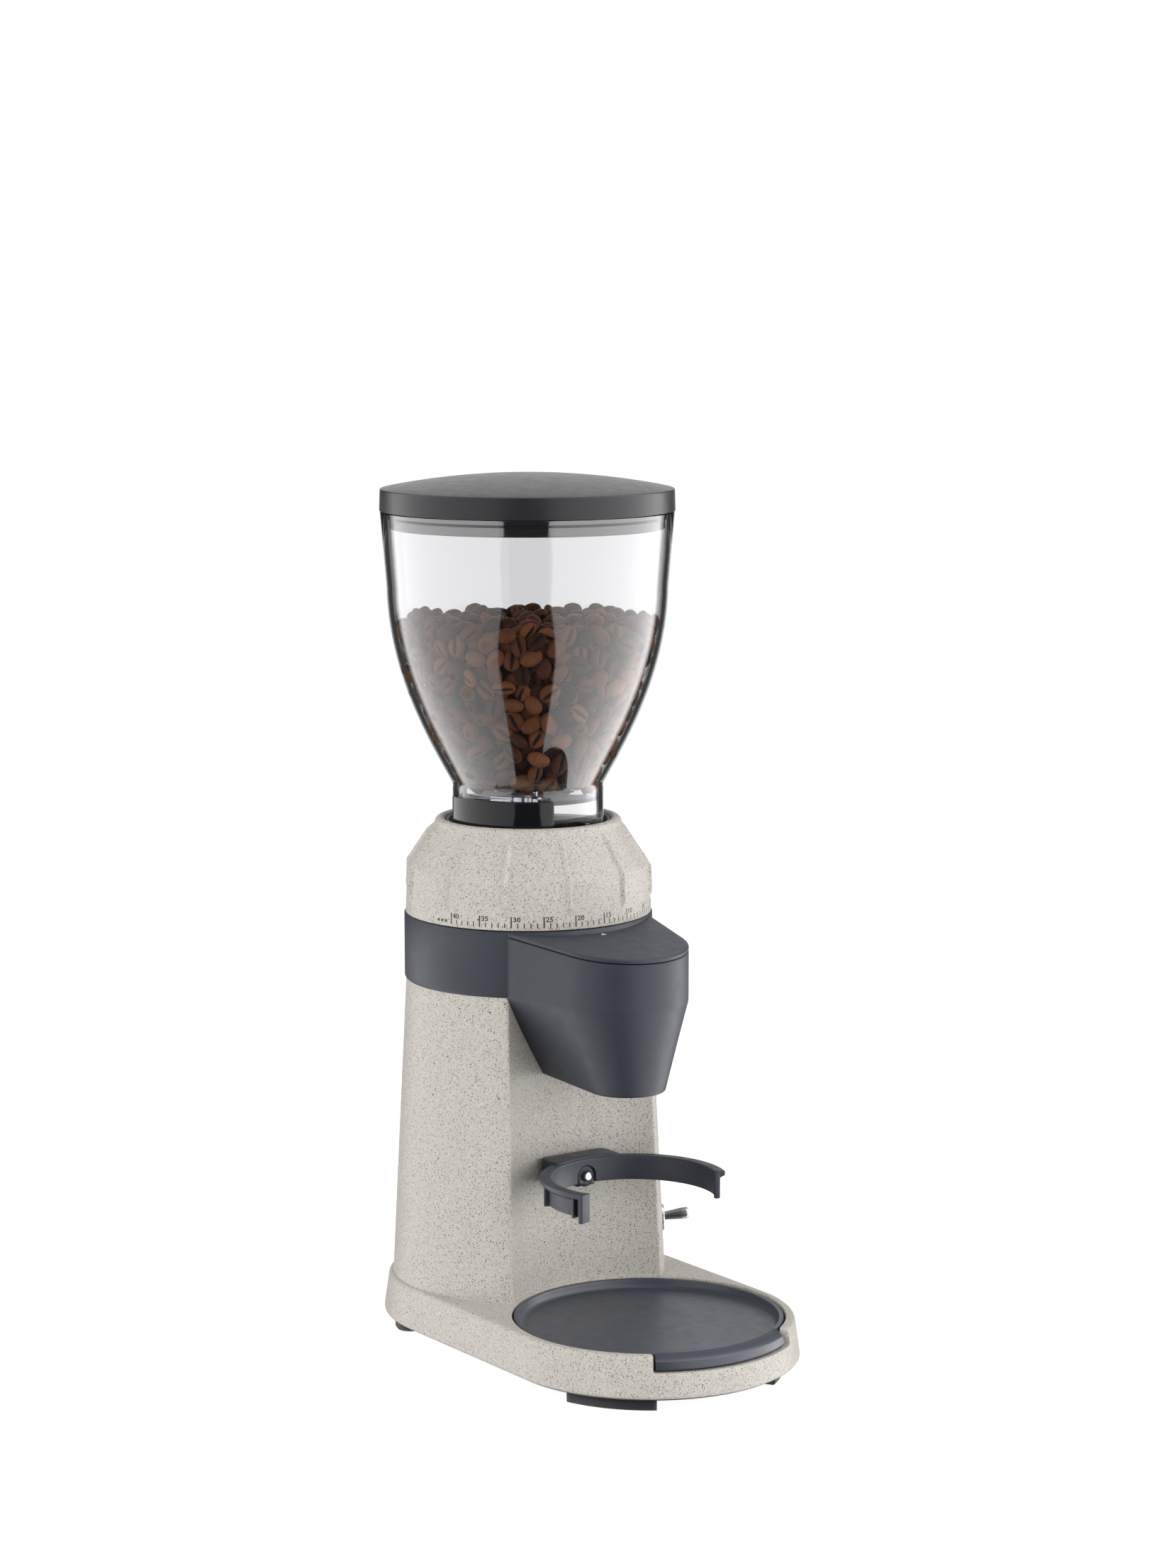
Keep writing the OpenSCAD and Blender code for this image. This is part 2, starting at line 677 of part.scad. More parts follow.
module collar() {
    skirt = concat([[collar_r - collar_wall, collar_low], [collar_r - 1.2, collar_low]],
        arc([collar_r - 1.2, collar_low + 1.2], 1.2, -60, 0, 3),
        [[collar_r, collar_top], [spigot_r, collar_top], [spigot_r, collar_top + 6],
        [spigot_r - 2.6, collar_top + 6], [spigot_r - 2.6, collar_top - 3], [collar_r - collar_wall, collar_top - 3]]);
    color(anthracite) difference() {
        union() {
            translate(burr_at) rotate_extrude() polygon(skirt);
            translate(burr_at) tube(collar_r - collar_wall, bearing_r + 0.5, collar_low, collar_floor);
        }
        block([duct[0][0], -20, duct[0][1]], [duct[1][0], 10, duct[1][1]]);
        for (p = gearbox_post_at) translate([p[0], p[1], collar_low - past]) {
            cylinder(r = 1.6, h = 6);
            translate([0, 0, collar_floor - collar_low + past - 1.9]) cylinder(r = 3, h = 4);
        }
        for (a = chamber_screw_turns) at_column(a) translate([38, 0, collar_low - past]) cylinder(r = 1.6, h = 6);
    }
}

// The spout's outline is a round nose and straight sides that run back to the column
spout_upper = [31.1, -23.15, 38.7];
spout_lower = [17.05, -29.95, 12.4];
spout_low = 123.1;
spout_wall = 2.2;
spout_slope = 5.82;
spout_rim = 189.7;
spout_back = 6.15;

// One thin level slice of the spout: nose radius, nose centre and half width, shrunk by inset
module spout_slice(shape, back, inset, z) {
    translate([0, 0, z]) linear_extrude(0.01) {
        translate([0, shape[1]]) circle(r = shape[0] - inset, $fn = 48);
        translate([0, back + 6]) square([2 * (shape[2] - inset), 12], center = true);
    }
}

module spout_form(inset, low, top) {
    hull() {
        spout_slice(spout_upper, spout_back, inset, collar_low);
        spout_slice(spout_upper, spout_back, inset, top);
    }
    hull() {
        spout_slice(spout_upper, spout_back, inset, collar_low);
        spout_slice(spout_lower, 16.4, inset, low);
    }
}

// Everything above the sloping plane that the spout's cover lies on, raised by lift
module above_spout(lift) {
    translate([0, spout_back, spout_rim + lift]) rotate([spout_slope, 0, 0]) translate([-60, -90, 0]) cube([120, 120, 40]);
}

module behind_spout() {
    column_form(0, base_top + 60, collar_low);
    translate([0, col_y, collar_low]) cylinder(r = collar_r, h = 40);
}

module spout_body() {
    color(anthracite) difference() {
        spout_form(0, spout_low, spout_rim + 5);
        above_spout(0);
        behind_spout();
        difference() {
            spout_form(spout_wall, spout_low - past, spout_rim + 8);
            translate([0, col_y, collar_low]) cylinder(r = collar_r + 2, h = 40);
            difference() {
                translate([-60, -60, 90]) cube([120, 100, collar_low - 90]);
                bay_core(-2, 80, collar_low + past);
            }
        }
        block([duct[0][0], -20, duct[0][1]], [duct[1][0], 10, duct[1][1]]);
    }
}

module spout_cover() {
    color(anthracite) difference() {
        hull() {
            spout_slice(spout_upper, spout_back, 0, spout_rim - 20);
            spout_slice(spout_upper, spout_back, 0, spout_rim + 12);
        }
        above_spout(2);
        difference() {
            translate([-60, -90, 100]) cube([120, 150, 120]);
            above_spout(0);
        }
        translate([0, col_y, collar_low]) cylinder(r = collar_r, h = 60);
    }
}

module outlet_duct() {
    color(black) difference() {
        block([duct[0][0], -11.6, duct[0][1]], [duct[1][0], 24, duct[1][1]]);
        block([duct[0][0] + 1.5, -13, duct[0][1] + 1.5], [duct[1][0] - 1.5, 25, duct[1][1] - 1.5]);
        translate(burr_at) cylinder(r = chamber_r, h = 300);
    }
}

// ---- Grinding chamber and burrs ----

chamber_r = 33;
chamber_screw_turns = [60, 180, 300];
thread_r = 40.2;

module grind_chamber() {
    section = [[bearing_r, collar_floor], [chamber_r, collar_floor], [chamber_r, 187], [thread_r + 3.3, 187],
        [thread_r + 3.3, 205], [thread_r, 205], [thread_r, 190], [chamber_r - 3, 190],
        [chamber_r - 3, collar_floor + 3], [bearing_r + 3, collar_floor + 3],
        [bearing_r + 3, collar_floor + bearing_h + 1.5], [shaft_r + 1, collar_floor + bearing_h + 1.5],
        [shaft_r + 1, collar_floor + bearing_h], [bearing_r, collar_floor + bearing_h]];
    color("#8d9095") difference() {
        union() {
            translate(burr_at) rotate_extrude() polygon(section);
            for (a = chamber_screw_turns) at_column(a) translate([38, 0, collar_floor]) cylinder(r = 5.3, h = 22.5);
        }
        block([duct[0][0] + 1.5, 0, duct[0][1] + 1.5], [duct[1][0] - 1.5, col_y - 20, duct[1][1] - 1.5]);
        for (a = chamber_screw_turns) at_column(a) translate([38, 0, collar_floor - past]) cylinder(r = 1.5, h = 8);
    }
}

module chamber_screws() {
    color(steel) for (a = chamber_screw_turns) at_column(a) translate([38, 0, collar_low]) rotate([180, 0, 0])
        screw(1.5, 9, 2.8, 2);
}

module burr_shaft() {
    color(steel) translate(burr_at) {
        translate([0, 0, gearbox_low - 4]) cylinder(r = shaft_r, h = 90);
        translate([0, 0, 213]) cylinder(r = 2.5, h = 4);
    }
}

module on_burr_shaft(bore_r) {
    translate(burr_at) difference() {
        union() children();
        cylinder(r = bore_r, h = 300);
    }
}

module impeller() {
    color("#8d9095") on_burr_shaft(shaft_r) {
        translate([0, 0, 176]) cylinder(r = 28.5, h = 1.6);
        translate([0, 0, 176]) cylinder(r = 8.5, h = 17.5);
        for (a = [0:60:300]) rotate([0, 0, a]) block([8, -1, 177], [28, 1, 184]);
    }
}

// Cone of the inner burr, with cutting grooves that lean as they climb
module inner_burr() {
    color(steel) difference() {
        on_burr_shaft(shaft_r) {
            translate([0, 0, 193.5]) cylinder(r1 = 19.1, r2 = 16.6, h = 6.5);
            translate([0, 0, 200]) cylinder(r1 = 16.6, r2 = 9, h = 13);
        }
        for (a = [0:45:315]) translate([0, col_y, 207]) rotate([0, 0, a]) translate([14.5, 0, 0])
            rotate([30, -30, 0]) rotate([0, 0, 45]) cube([4, 4, 22], center = true);
        for (a = [0:15:345]) translate([0, col_y, 196]) rotate([0, 0, a]) translate([19.3, 0, 0])
            rotate([20, -21, 0]) rotate([0, 0, 45]) cube([1.1, 1.1, 12], center = true);
    }
}

module burr_screw() {
    color(steel) translate(burr_at) difference() {
        translate([0, 0, 213]) cylinder(r1 = 7, r2 = 5, h = 5.5);
        translate([0, 0, 212]) cylinder(r = 2.5, h = 5);
        translate([0, 0, 217]) cylinder(r = 3, h = 4, $fn = 6);
    }
}

ring_burr_r = 25;

module ring_burr() {
    section = [[20.3, 194], [ring_burr_r, 194], [ring_burr_r, 212], [22.5, 212], [17.8, 200]];
    color(steel) difference() {
        translate(burr_at) rotate_extrude() polygon(section);
        for (a = [0:20:340]) translate([0, col_y, 197]) rotate([0, 0, a]) translate([18.6, 0, 0])
            rotate([20, -22, 0]) rotate([0, 0, 45]) cube([1.2, 1.2, 10], center = true);
    }
}

// ---- Dial, carrier and throat ----

carrier_flange = [206.5, 210.5];
rib_turns = [0, 120, 240];

module burr_carrier() {
    section = [[ring_burr_r, 193.5], [thread_r - 0.2, 193.5], [thread_r - 0.2, carrier_flange[0]],
        [48, carrier_flange[0]], [48, carrier_flange[1]], [34, carrier_flange[1]], [31, 218], [28.5, 218],
        [ring_burr_r - 2.5, 212], [ring_burr_r, 212]];
    color("#8d9095") difference() {
        translate(burr_at) rotate_extrude() polygon(section);
        for (a = rib_turns) at_column(a) block([45.4, -2.4, 200], [50, 2.4, 215]);
    }
}

dial_low = collar_top + 0.5;
dial_shoulder = [dial_r - 0.9, 214.5];
dial_brow = [dial_bore_r + 5.1, 233];
crest_r = (dial_brow[0] - dial_bore_r) / 2;

module dial() {
    section = concat([[dial_r - 2.9, dial_low], [dial_r, dial_low], dial_shoulder],
        arc([dial_bore_r + crest_r, dial_brow[1]], crest_r, 0, 180, 10),
        [[dial_bore_r, 221], [dial_bore_r + 2.8, 221], [dial_bore_r + 2.8, 230.5], [dial_r - 2.9, 213]]);
    ridge = [[dial_r - 2, dial_low + 7], [dial_r - 0.2, dial_low + 7], [dial_shoulder[0] + 0.5, dial_shoulder[1]],
        [dial_brow[0] + 1.6, dial_brow[1] - 2.4], [dial_shoulder[0] - 2, dial_shoulder[1]]];
    color(stone) {
        translate(burr_at) rotate_extrude() polygon(section);
        for (i = [0:dial_ridges - 1]) at_column(15 + i * 360 / dial_ridges - 0.6) rotate_extrude(angle = 1.2)
            polygon(ridge);
        for (a = rib_turns) at_column(a) block([46, -2, 200], [dial_r - 2.5, 2, 213]);
    }
}

throat_top = 234.2;

module throat_ring() {
    section = [[25, 219.8], [dial_bore_r, 219.8], [dial_bore_r, 233], [dial_bore_r - 0.4, throat_top],
        [neck_r + 1.8, throat_top], [neck_r + 1.8, 222.3], [25, 222.3]];
    color(black) translate(burr_at) rotate_extrude() polygon(section);
}

// ---- Hopper, shutter, beans and lid ----

gate_turns = [0, 90, 180, 270];
neck_low = 225;
gate_floor = 246.6;
gate_plate = 2;
neck_top = 250.8;
bowl = bezier([[neck_r, neck_top], [45.3, 270.8], [62.6, 300.9], [63.3, 340]], 20);
bowl_rim = [[66, hopper_top]];
hopper_outline = concat([[neck_r, neck_low]], bowl, bowl_rim);

// The shutter's arm passes through a slot in the neck, as long as the arm and its travel
shutter_turn = 45;
arm_turn = -75;
arm_width = 8;
arm_low = 238;
arm_high = 242.6;

// Quarter openings of the bean gate
module gate_cuts(low, high) {
    for (a = gate_turns) at_column(a) translate([0, 0, low]) rotate([0, 0, -22.5]) rotate_extrude(angle = 45)
        translate([5, 0]) square([23.5, high - low]);
}

module hopper() {
    inside = [for (i = [len(hopper_outline) - 1:-1:0]) hopper_outline[i] - [hopper_wall, 0]];
    color(clear) difference() {
        translate(burr_at) rotate_extrude() polygon(concat(hopper_outline, inside));
        at_column(arm_turn - 1) translate([0, 0, arm_low - 0.4])
            rotate_extrude(angle = arm_width + shutter_turn + 2)
            translate([neck_r - hopper_wall - 1, 0]) square([hopper_wall + 2, arm_high - arm_low + 0.8]);
    }
    color(clear) difference() {
        translate(burr_at) translate([0, 0, gate_floor]) cylinder(r = neck_r - hopper_wall + 0.3, h = gate_plate);
        gate_cuts(gate_floor - past, gate_floor + gate_plate + past);
    }
}

module hopper_shutter() {
    inner = neck_r + 0.25;
    outer = neck_r + 1.5;
    disc_r = neck_r - hopper_wall - 0.4;
    disc_low = gate_floor - 2;
    ring = [[inner, 222.8], [outer, 222.8], [outer, 231.5], [inner, 231.5]];
    grip = [[inner + 0.1, 230], [outer - 0.2, 230], [outer - 0.2, 236.4], [outer + 1.1, 237.4],
        [outer + 1.1, 246], [outer + 0.3, 246.8], [inner + 0.1, 246.8]];
    track = [[inner + 0.15, 229.5], [outer - 0.25, 229.5], [outer - 0.25, 232.6], [inner + 0.15, 232.6]];
    stop = [[inner + 0.25, 230.5], [outer - 0.35, 230.5], [outer - 0.35, 235.4], [inner + 0.25, 235.4]];
    arm = [[disc_r - 2, disc_low + 1], [disc_r - 2, arm_low], [inner + 0.7, arm_low], [inner + 0.7, arm_high],
        [disc_r - 0.3, arm_high], [disc_r - 0.3, disc_low + 1]];
    color(black) {
        translate(burr_at) rotate_extrude() polygon(ring);
        difference() {
            translate(burr_at) translate([0, 0, disc_low]) cylinder(r = disc_r, h = 1.7);
            gate_cuts(disc_low - past, disc_low + 1.7 + past);
        }
        at_column(arm_turn) rotate_extrude(angle = arm_width) polygon(arm);
        at_column(-100) rotate_extrude(angle = 84) polygon(grip);
        at_column(-17) rotate_extrude(angle = 34) polygon(track);
        at_column(12) rotate_extrude(angle = 4.5) polygon(stop);
    }
}

module coffee_beans() {
    gap = hopper_wall + 0.3;
    beans_low = gate_floor + gate_plate + 0.2;
    side = [for (p = hopper_outline) if (p[1] > neck_top - 1 && p[1] < bean_level) p - [gap, 0]];
    top_r = side[len(side) - 1][0];
    color("#4a2c1a") translate(burr_at) rotate_extrude()
        polygon(concat([[0, beans_low], [neck_r - gap, beans_low]], side,
            [[top_r, bean_level - 3], [0, bean_level]]));
}

lid_r = 66.2;
lid_edge = hopper_top + 0.2;
lid_rim = 383.3;
lid_apex = 390;
lid_wall = 2.2;
skirt_out = 62;

module hopper_lid() {
    dome_r = (lid_r * lid_r + (lid_apex - lid_rim) * (lid_apex - lid_rim)) / 2 / (lid_apex - lid_rim);
    color("#3e3f42") translate(burr_at) {
        difference() {
            intersection() {
                translate([0, 0, lid_edge]) cylinder(r1 = lid_r, r2 = lid_r - 0.3, h = 20);
                translate([0, 0, lid_apex - dome_r]) sphere(r = dome_r);
            }
            difference() {
                intersection() {
                    translate([0, 0, lid_edge - past]) cylinder(r = lid_r - lid_wall, h = 20);
                    translate([0, 0, lid_apex - dome_r - lid_wall]) sphere(r = dome_r);
                }
                translate([0, 0, lid_edge]) cylinder(r = 3, h = 20);
            }
        }
        difference() {
            translate([0, 0, 366]) cylinder(r = skirt_out, h = 16);
            translate([0, 0, 365]) cylinder(r = skirt_out - 2.2, h = 20);
        }
    }
}

module lid_seal() {
    color(black) translate(burr_at) translate([0, 0, 370]) rotate_extrude()
        polygon([[skirt_out, 0], [skirt_out + 0.75, 0.3], [skirt_out + 0.75, 0.9], [skirt_out, 1.2]]);
}

base();
bottom_plate();
front_foot_left();
front_foot_right();
rear_foot_left();
rear_foot_right();
housing_screws();
column();
collar();
spout_body();
spout_cover();
outlet_duct();
grind_chamber();
chamber_screws();
fork_bracket();
bracket_screws();
microswitch();
button_spring();
toggle_bush();
toggle_nut();
toggle_switch_body();
cord_gland();
motor_can();
motor_end_bell();
stator_core();
brush_holders();
motor_screws();
gearbox_housing();
gearbox_cover();
gearbox_screws();
idler_pin();
lower_shaft_bearing();
upper_shaft_bearing();
control_board();
board_standoffs();
motor_shaft();
armature();
commutator();
cooling_fan();
motor_pinion();
idler_gear();
burr_shaft();
output_gear();
impeller();
inner_burr();
burr_screw();
dial();
throat_ring();
burr_carrier();
ring_burr();
hopper();
coffee_beans();
hopper_lid();
lid_seal();
hopper_shutter();
tray();
fork();
start_button();
toggle_lever();
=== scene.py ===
import json
import math
import random
from itertools import product

import bmesh
import bpy
from mathutils import Matrix, Vector


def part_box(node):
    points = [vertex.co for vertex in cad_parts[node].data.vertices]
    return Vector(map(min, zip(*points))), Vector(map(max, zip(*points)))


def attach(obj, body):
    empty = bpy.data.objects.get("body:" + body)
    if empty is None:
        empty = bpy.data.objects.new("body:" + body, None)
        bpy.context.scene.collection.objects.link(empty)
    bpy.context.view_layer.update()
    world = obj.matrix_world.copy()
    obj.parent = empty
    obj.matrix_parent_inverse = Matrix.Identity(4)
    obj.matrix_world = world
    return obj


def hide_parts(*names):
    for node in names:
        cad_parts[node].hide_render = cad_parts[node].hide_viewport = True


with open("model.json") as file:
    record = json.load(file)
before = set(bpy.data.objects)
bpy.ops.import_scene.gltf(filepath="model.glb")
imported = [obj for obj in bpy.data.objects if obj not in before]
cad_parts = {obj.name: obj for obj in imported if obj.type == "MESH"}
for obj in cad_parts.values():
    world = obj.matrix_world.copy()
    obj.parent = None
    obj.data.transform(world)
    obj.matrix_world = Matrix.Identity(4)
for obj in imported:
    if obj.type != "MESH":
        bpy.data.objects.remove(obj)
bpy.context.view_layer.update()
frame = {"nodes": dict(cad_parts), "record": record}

MM = 0.001
NODES = frame["nodes"]

# ---- Places, in millimetres, worked out from the frame ----

COLUMN_Y = sum(corner[1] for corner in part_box("collar")) / 2 / MM
TRAY_Y = -COLUMN_Y
LID_LOW, LID_HIGH = (corner[2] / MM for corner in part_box("hopper_lid"))
DIAL_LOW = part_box("dial")[0][2] / MM

# The photograph's camera, looking from the front left and a little down.
CAMERA_AT = (-0.938, -1.33445, 0.4919)
CAMERA_TURN = -35.11
CAMERA_PITCH = 8.25
CAMERA_LENS = 85.79


# ---- Materials ----

class Nodes:
    """A node tree with short ways to add and join its nodes."""

    def __init__(self, tree):
        self.tree = tree

    def add(self, kind, **settings):
        node = self.tree.nodes.new(kind)
        for name, value in settings.items():
            setattr(node, name, value)
        return node

    def feed(self, socket, value):
        """Links value to the socket, or sets it there if it is a number or a colour."""
        if isinstance(value, bpy.types.NodeSocket):
            self.tree.links.new(value, socket)
        elif socket.type == "RGBA":
            socket.default_value = (*value, 1)
        else:
            socket.default_value = value

    def span(self, value, low, high, to_low=0.0, to_high=1.0):
        """value carried from low..high to to_low..to_high, and held at those ends."""
        node = self.add("ShaderNodeMapRange", clamp=True)
        for name, number in zip(("Value", "From Min", "From Max", "To Min", "To Max"),
                                (value, low, high, to_low, to_high)):
            self.feed(node.inputs[name], number)
        return node.outputs["Result"]

    def maths(self, operation, first, second=0.0):
        node = self.add("ShaderNodeMath", operation=operation)
        self.feed(node.inputs[0], first)
        self.feed(node.inputs[1], second)
        return node.outputs["Value"]

    def times(self, first, second):
        return self.maths("MULTIPLY", first, second)


class Surface(Nodes):
    """A material built round one Principled shader, with helpers for its textures. Sizes are in millimetres."""

    def __init__(self, name, colour, roughness, metallic=0.0, level=0.5):
        self.material = bpy.data.materials.new(name)
        self.material.use_nodes = True
        super().__init__(self.material.node_tree)
        self.shader = self.tree.nodes["Principled BSDF"]
        self.put("Base Color", colour)
        self.put("Roughness", roughness)
        self.put("Metallic", metallic)
        self.put("Specular IOR Level", level)
        self.place = self.add("ShaderNodeTexCoord").outputs["Object"]

    def put(self, name, value):
        """Feeds one of the shader's own sockets."""
        self.feed(self.shader.inputs[name], value)

    def stretch(self, scale):
        """The object's coordinates, scaled differently along each axis."""
        node = self.add("ShaderNodeMapping")
        self.feed(node.inputs["Vector"], self.place)
        node.inputs["Scale"].default_value = scale
        return node.outputs["Vector"]

    def noise(self, size, detail=2.0, rough=0.5, place=None):
        node = self.add("ShaderNodeTexNoise")
        for name, value in (("Vector", place or self.place), ("Scale", 1 / (size * MM)), ("Detail", detail),
                            ("Roughness", rough)):
            self.feed(node.inputs[name], value)
        return node.outputs["Fac"]

    def patches(self, size, detail, rough=0.5, edge=0.3, low=0.0, high=1.0):
        """Soft patches of one size, as values from low to high."""
        return self.span(self.noise(size, detail, rough), edge, 1 - edge, low, high)

    def cells(self, size, output="Distance", feature="F1"):
        node = self.add("ShaderNodeTexVoronoi", feature=feature)
        self.feed(node.inputs["Vector"], self.place)
        self.feed(node.inputs["Scale"], 1 / (size * MM))
        return node.outputs[output]

    def over(self, base, mask, colour, most=1.0):
        """base with a colour laid over it where mask says, never stronger than most."""
        node = self.add("ShaderNodeMix", data_type="RGBA")
        self.feed(node.inputs[0], mask if most == 1.0 else self.times(mask, most))
        self.feed(node.inputs[6], base)
        self.feed(node.inputs[7], colour)
        return node.outputs[2]

    def bump(self, height, depth, strength=1.0):
        """Raises the surface by height times depth millimetres."""
        node = self.add("ShaderNodeBump")
        self.feed(node.inputs["Strength"], strength)
        self.feed(node.inputs["Distance"], depth * MM)
        self.feed(node.inputs["Height"], height)
        self.put("Normal", node.outputs["Normal"])


def tint(colour, share):
    return tuple(c * share for c in colour)


def stone_enamel():
    """Warm light grey textured coating with fine dark specks and a few larger ones."""
    s = Surface("stone_enamel", (0.56, 0.52, 0.465), 0.46, level=0.3)
    base = s.over((0.530, 0.500, 0.455), s.patches(9, 3, edge=0.35), (0.500, 0.478, 0.440))
    base = s.over(base, s.patches(1.6, 4, 0.6), (0.440, 0.412, 0.372))
    pale = s.span(s.noise(0.42, 2, 0.6), 0.60, 0.72)
    base = s.over(base, pale, (0.74, 0.71, 0.66), 0.45)
    fine = s.span(s.noise(0.55, 3, 0.7), 0.45, 0.38)
    base = s.over(base, fine, (0.15, 0.12, 0.10), 0.85)
    specks = s.times(s.span(s.cells(1.2), 0.27, 0.20), s.span(s.cells(1.2, "Color"), 0.50, 0.54))
    base = s.over(base, specks, (0.07, 0.058, 0.048), 0.85)
    rare = s.span(s.cells(8.0), 0.060, 0.045)
    s.put("Base Color", s.over(base, rare, (0.03, 0.025, 0.022)))
    s.put("Roughness", s.patches(0.7, 3, low=0.40, high=0.56))
    s.bump(s.noise(0.55, 4, 0.65), 0.05, 0.5)
    return s.material


def moulded(name, colour, low, high, grain, depth, level, ior=1.5):
    """Moulded plastic with a spark-eroded texture and faint cloudy wear in its gloss."""
    s = Surface(name, colour, (low + high) / 2, level=level)
    s.put("IOR", ior)
    s.put("Base Color", s.over(colour, s.patches(18, 3), tint(colour, 1.06)))
    s.put("Roughness", s.patches(6, 4, 0.6, low=low, high=high))
    s.bump(s.noise(grain, 3, 0.6), depth, 0.6)
    return s.material


def clear_plastic():
    """Clear moulded plastic that lets the lamps through, with faint marks in its gloss."""
    s = Surface("clear_plastic", (0.880, 0.880, 0.893), 0.015, level=1.0)
    s.put("Transmission Weight", 1.0)
    s.put("IOR", 1.49)
    s.put("Roughness", s.patches(30, 3, edge=0.35, low=0.004, high=0.02))
    through = s.add("ShaderNodeBsdfTransparent")
    s.feed(through.inputs["Color"], (0.93, 0.94, 0.94))
    mixed = s.add("ShaderNodeMixShader")
    s.feed(mixed.inputs[0], s.add("ShaderNodeLightPath").outputs["Is Shadow Ray"])
    s.feed(mixed.inputs[1], s.shader.outputs[0])
    s.feed(mixed.inputs[2], through.outputs[0])
    s.feed(s.tree.nodes["Material Output"].inputs["Surface"], mixed.outputs[0])
    return s.material


def roasted_coffee():
    """Roasted beans: each has its own tone, with painted shade darkening its furrows, and an oily sheen."""
    s = Surface("roasted_coffee", (0.07, 0.03, 0.014), 0.4, level=0.18)
    tone, furrow = (s.add("ShaderNodeAttribute", attribute_name=name).outputs["Fac"] for name in ("tone", "furrow"))
    base = s.over((0.036, 0.013, 0.005), tone, (0.380, 0.146, 0.058))
    base = s.over(base, s.span(s.noise(1.1, 4, 0.65), 0.3, 0.75), (0.022, 0.008, 0.004), 0.45)
    # Painted shade: each furrow is darkened by its own depth.
    s.put("Base Color", s.over(base, s.span(furrow, 0.1, 0.7), (0.010, 0.004, 0.0025)))
    s.put("Roughness", s.patches(2.5, 3, low=0.34, high=0.48))
    s.bump(s.noise(1.1, 3, 0.55), 0.04, 0.4)
    return s.material


def turned_metal(name, colour, low, high, grain=(300, 300, 9000), depth=0.01):
    """Machined metal with fine lines and patchy polish."""
    s = Surface(name, colour, (low + high) / 2, 1.0)
    lines = s.noise(1000, 2, 0.6, place=s.stretch(grain))
    patches = s.patches(5, 3)
    s.put("Base Color", s.over(colour, patches, tint(colour, 0.86), 0.5))
    s.put("Roughness", s.span(s.maths("ADD", s.times(lines, 0.5), s.times(patches, 0.5)), 0.3, 0.8, low, high))
    s.bump(lines, depth, 0.4)
    return s.material


def cast_metal(name, colour, low, high):
    s = Surface(name, colour, (low + high) / 2, 1.0)
    s.put("Base Color", s.over(colour, s.patches(3.5, 5, 0.6), tint(colour, 0.7), 0.35))
    s.put("Roughness", s.patches(1.2, 4, low=low, high=high))
    s.bump(s.noise(0.6, 4, 0.6), 0.06, 0.6)
    return s.material


def circuit_board():
    s = Surface("circuit_board", (0.02, 0.12, 0.05), 0.35)
    tracks = s.span(s.cells(4.0, feature="DISTANCE_TO_EDGE"), 0.05, 0.09)
    s.put("Base Color", s.over((0.03, 0.20, 0.09), tracks, (0.014, 0.10, 0.045)))
    s.put("Roughness", s.patches(3, 2, low=0.28, high=0.45))
    s.bump(tracks, 0.03, 0.5)
    return s.material


def printed_ink():
    s = Surface("printed_ink", (0.015, 0.014, 0.013), 0.5)
    s.put("Base Color", s.over((0.010, 0.009, 0.009), s.span(s.noise(0.3, 2), 0.35, 0.7), (0.022, 0.020, 0.019)))
    s.put("Roughness", s.patches(0.5, 2, low=0.42, high=0.58))
    return s.material


# Moulded plastics: colour, least and most roughness, size and depth of the grain, specular level, IOR.
PLASTICS = {
    "anthracite_plastic": ((0.024, 0.027, 0.0355), 0.42, 0.52, 0.28, 0.01, 0.24),
    "lid_plastic": ((0.016, 0.0165, 0.019), 0.28, 0.35, 0.35, 0.01, 0.22),
    "black_plastic": ((0.016, 0.016, 0.018), 0.38, 0.5, 0.28, 0.035, 0.5),
    "gloss_black_plastic": ((0.006, 0.006, 0.008), 0.045, 0.10, 8.0, 0.01, 0.26),
    # Painted shade: the lid's skirt is the lid's own plastic made darker, for the shade inside the hopper under the
    # lid.
    "skirt_plastic_painted_shade": ((0.004, 0.004, 0.005), 0.03, 0.07, 8.0, 0.005, 1.0, 2.2),
    "tray_plastic": ((0.029, 0.033, 0.045), 0.34, 0.44, 0.28, 0.008, 0.4),
    "rubber": ((0.013, 0.0135, 0.016), 0.5, 0.62, 0.5, 0.04, 0.3),
    "gear_plastic": ((0.62, 0.60, 0.54), 0.36, 0.5, 0.4, 0.02, 0.5),
}
# Machined metals: colour, least and most roughness, stretch of the tool marks, their depth.
METALS = {
    "chrome": ((0.46, 0.455, 0.44), 0.24, 0.34),
    "satin_steel": ((0.25, 0.245, 0.237), 0.26, 0.34, (300, 300, 3000), 0.002),
    "steel": ((0.56, 0.55, 0.53), 0.25, 0.40),
    "lamination": ((0.30, 0.29, 0.28), 0.38, 0.55, (50, 50, 9000), 0.05),
    "brass": ((0.70, 0.48, 0.18), 0.22, 0.38),
}
MATERIALS = {
    "stone_enamel": stone_enamel(),
    "clear_plastic": clear_plastic(),
    "coffee": roasted_coffee(),
    "cast_alloy": cast_metal("cast_alloy", (0.42, 0.43, 0.45), 0.42, 0.62),
    "board": circuit_board(),
    "ink": printed_ink(),
    **{name: moulded(name, *look) for name, look in PLASTICS.items()},
    **{name: turned_metal(name, *look) for name, look in METALS.items()},
}
SLOT_OF = {part["node"]: part["material_slot"] for part in frame["record"]["subparts"]}


# ---- Mesh helpers. Sizes and places are in millimetres, and objects are made in metres ----

def loose(solids, name="loose"):
    """A plain object made from gathered solids, its faces turned outwards."""
    mesh = bpy.data.meshes.new(name)
    mesh.from_pydata([[c * MM for c in p] for p in solids.points], [], solids.faces)
    mesh.validate()
    work = bmesh.new()
    work.from_mesh(mesh)
    bmesh.ops.recalc_face_normals(work, faces=work.faces)
    work.to_mesh(mesh)
    work.free()
    made = bpy.data.objects.new(name, mesh)
    bpy.context.scene.collection.objects.link(made)
    return made


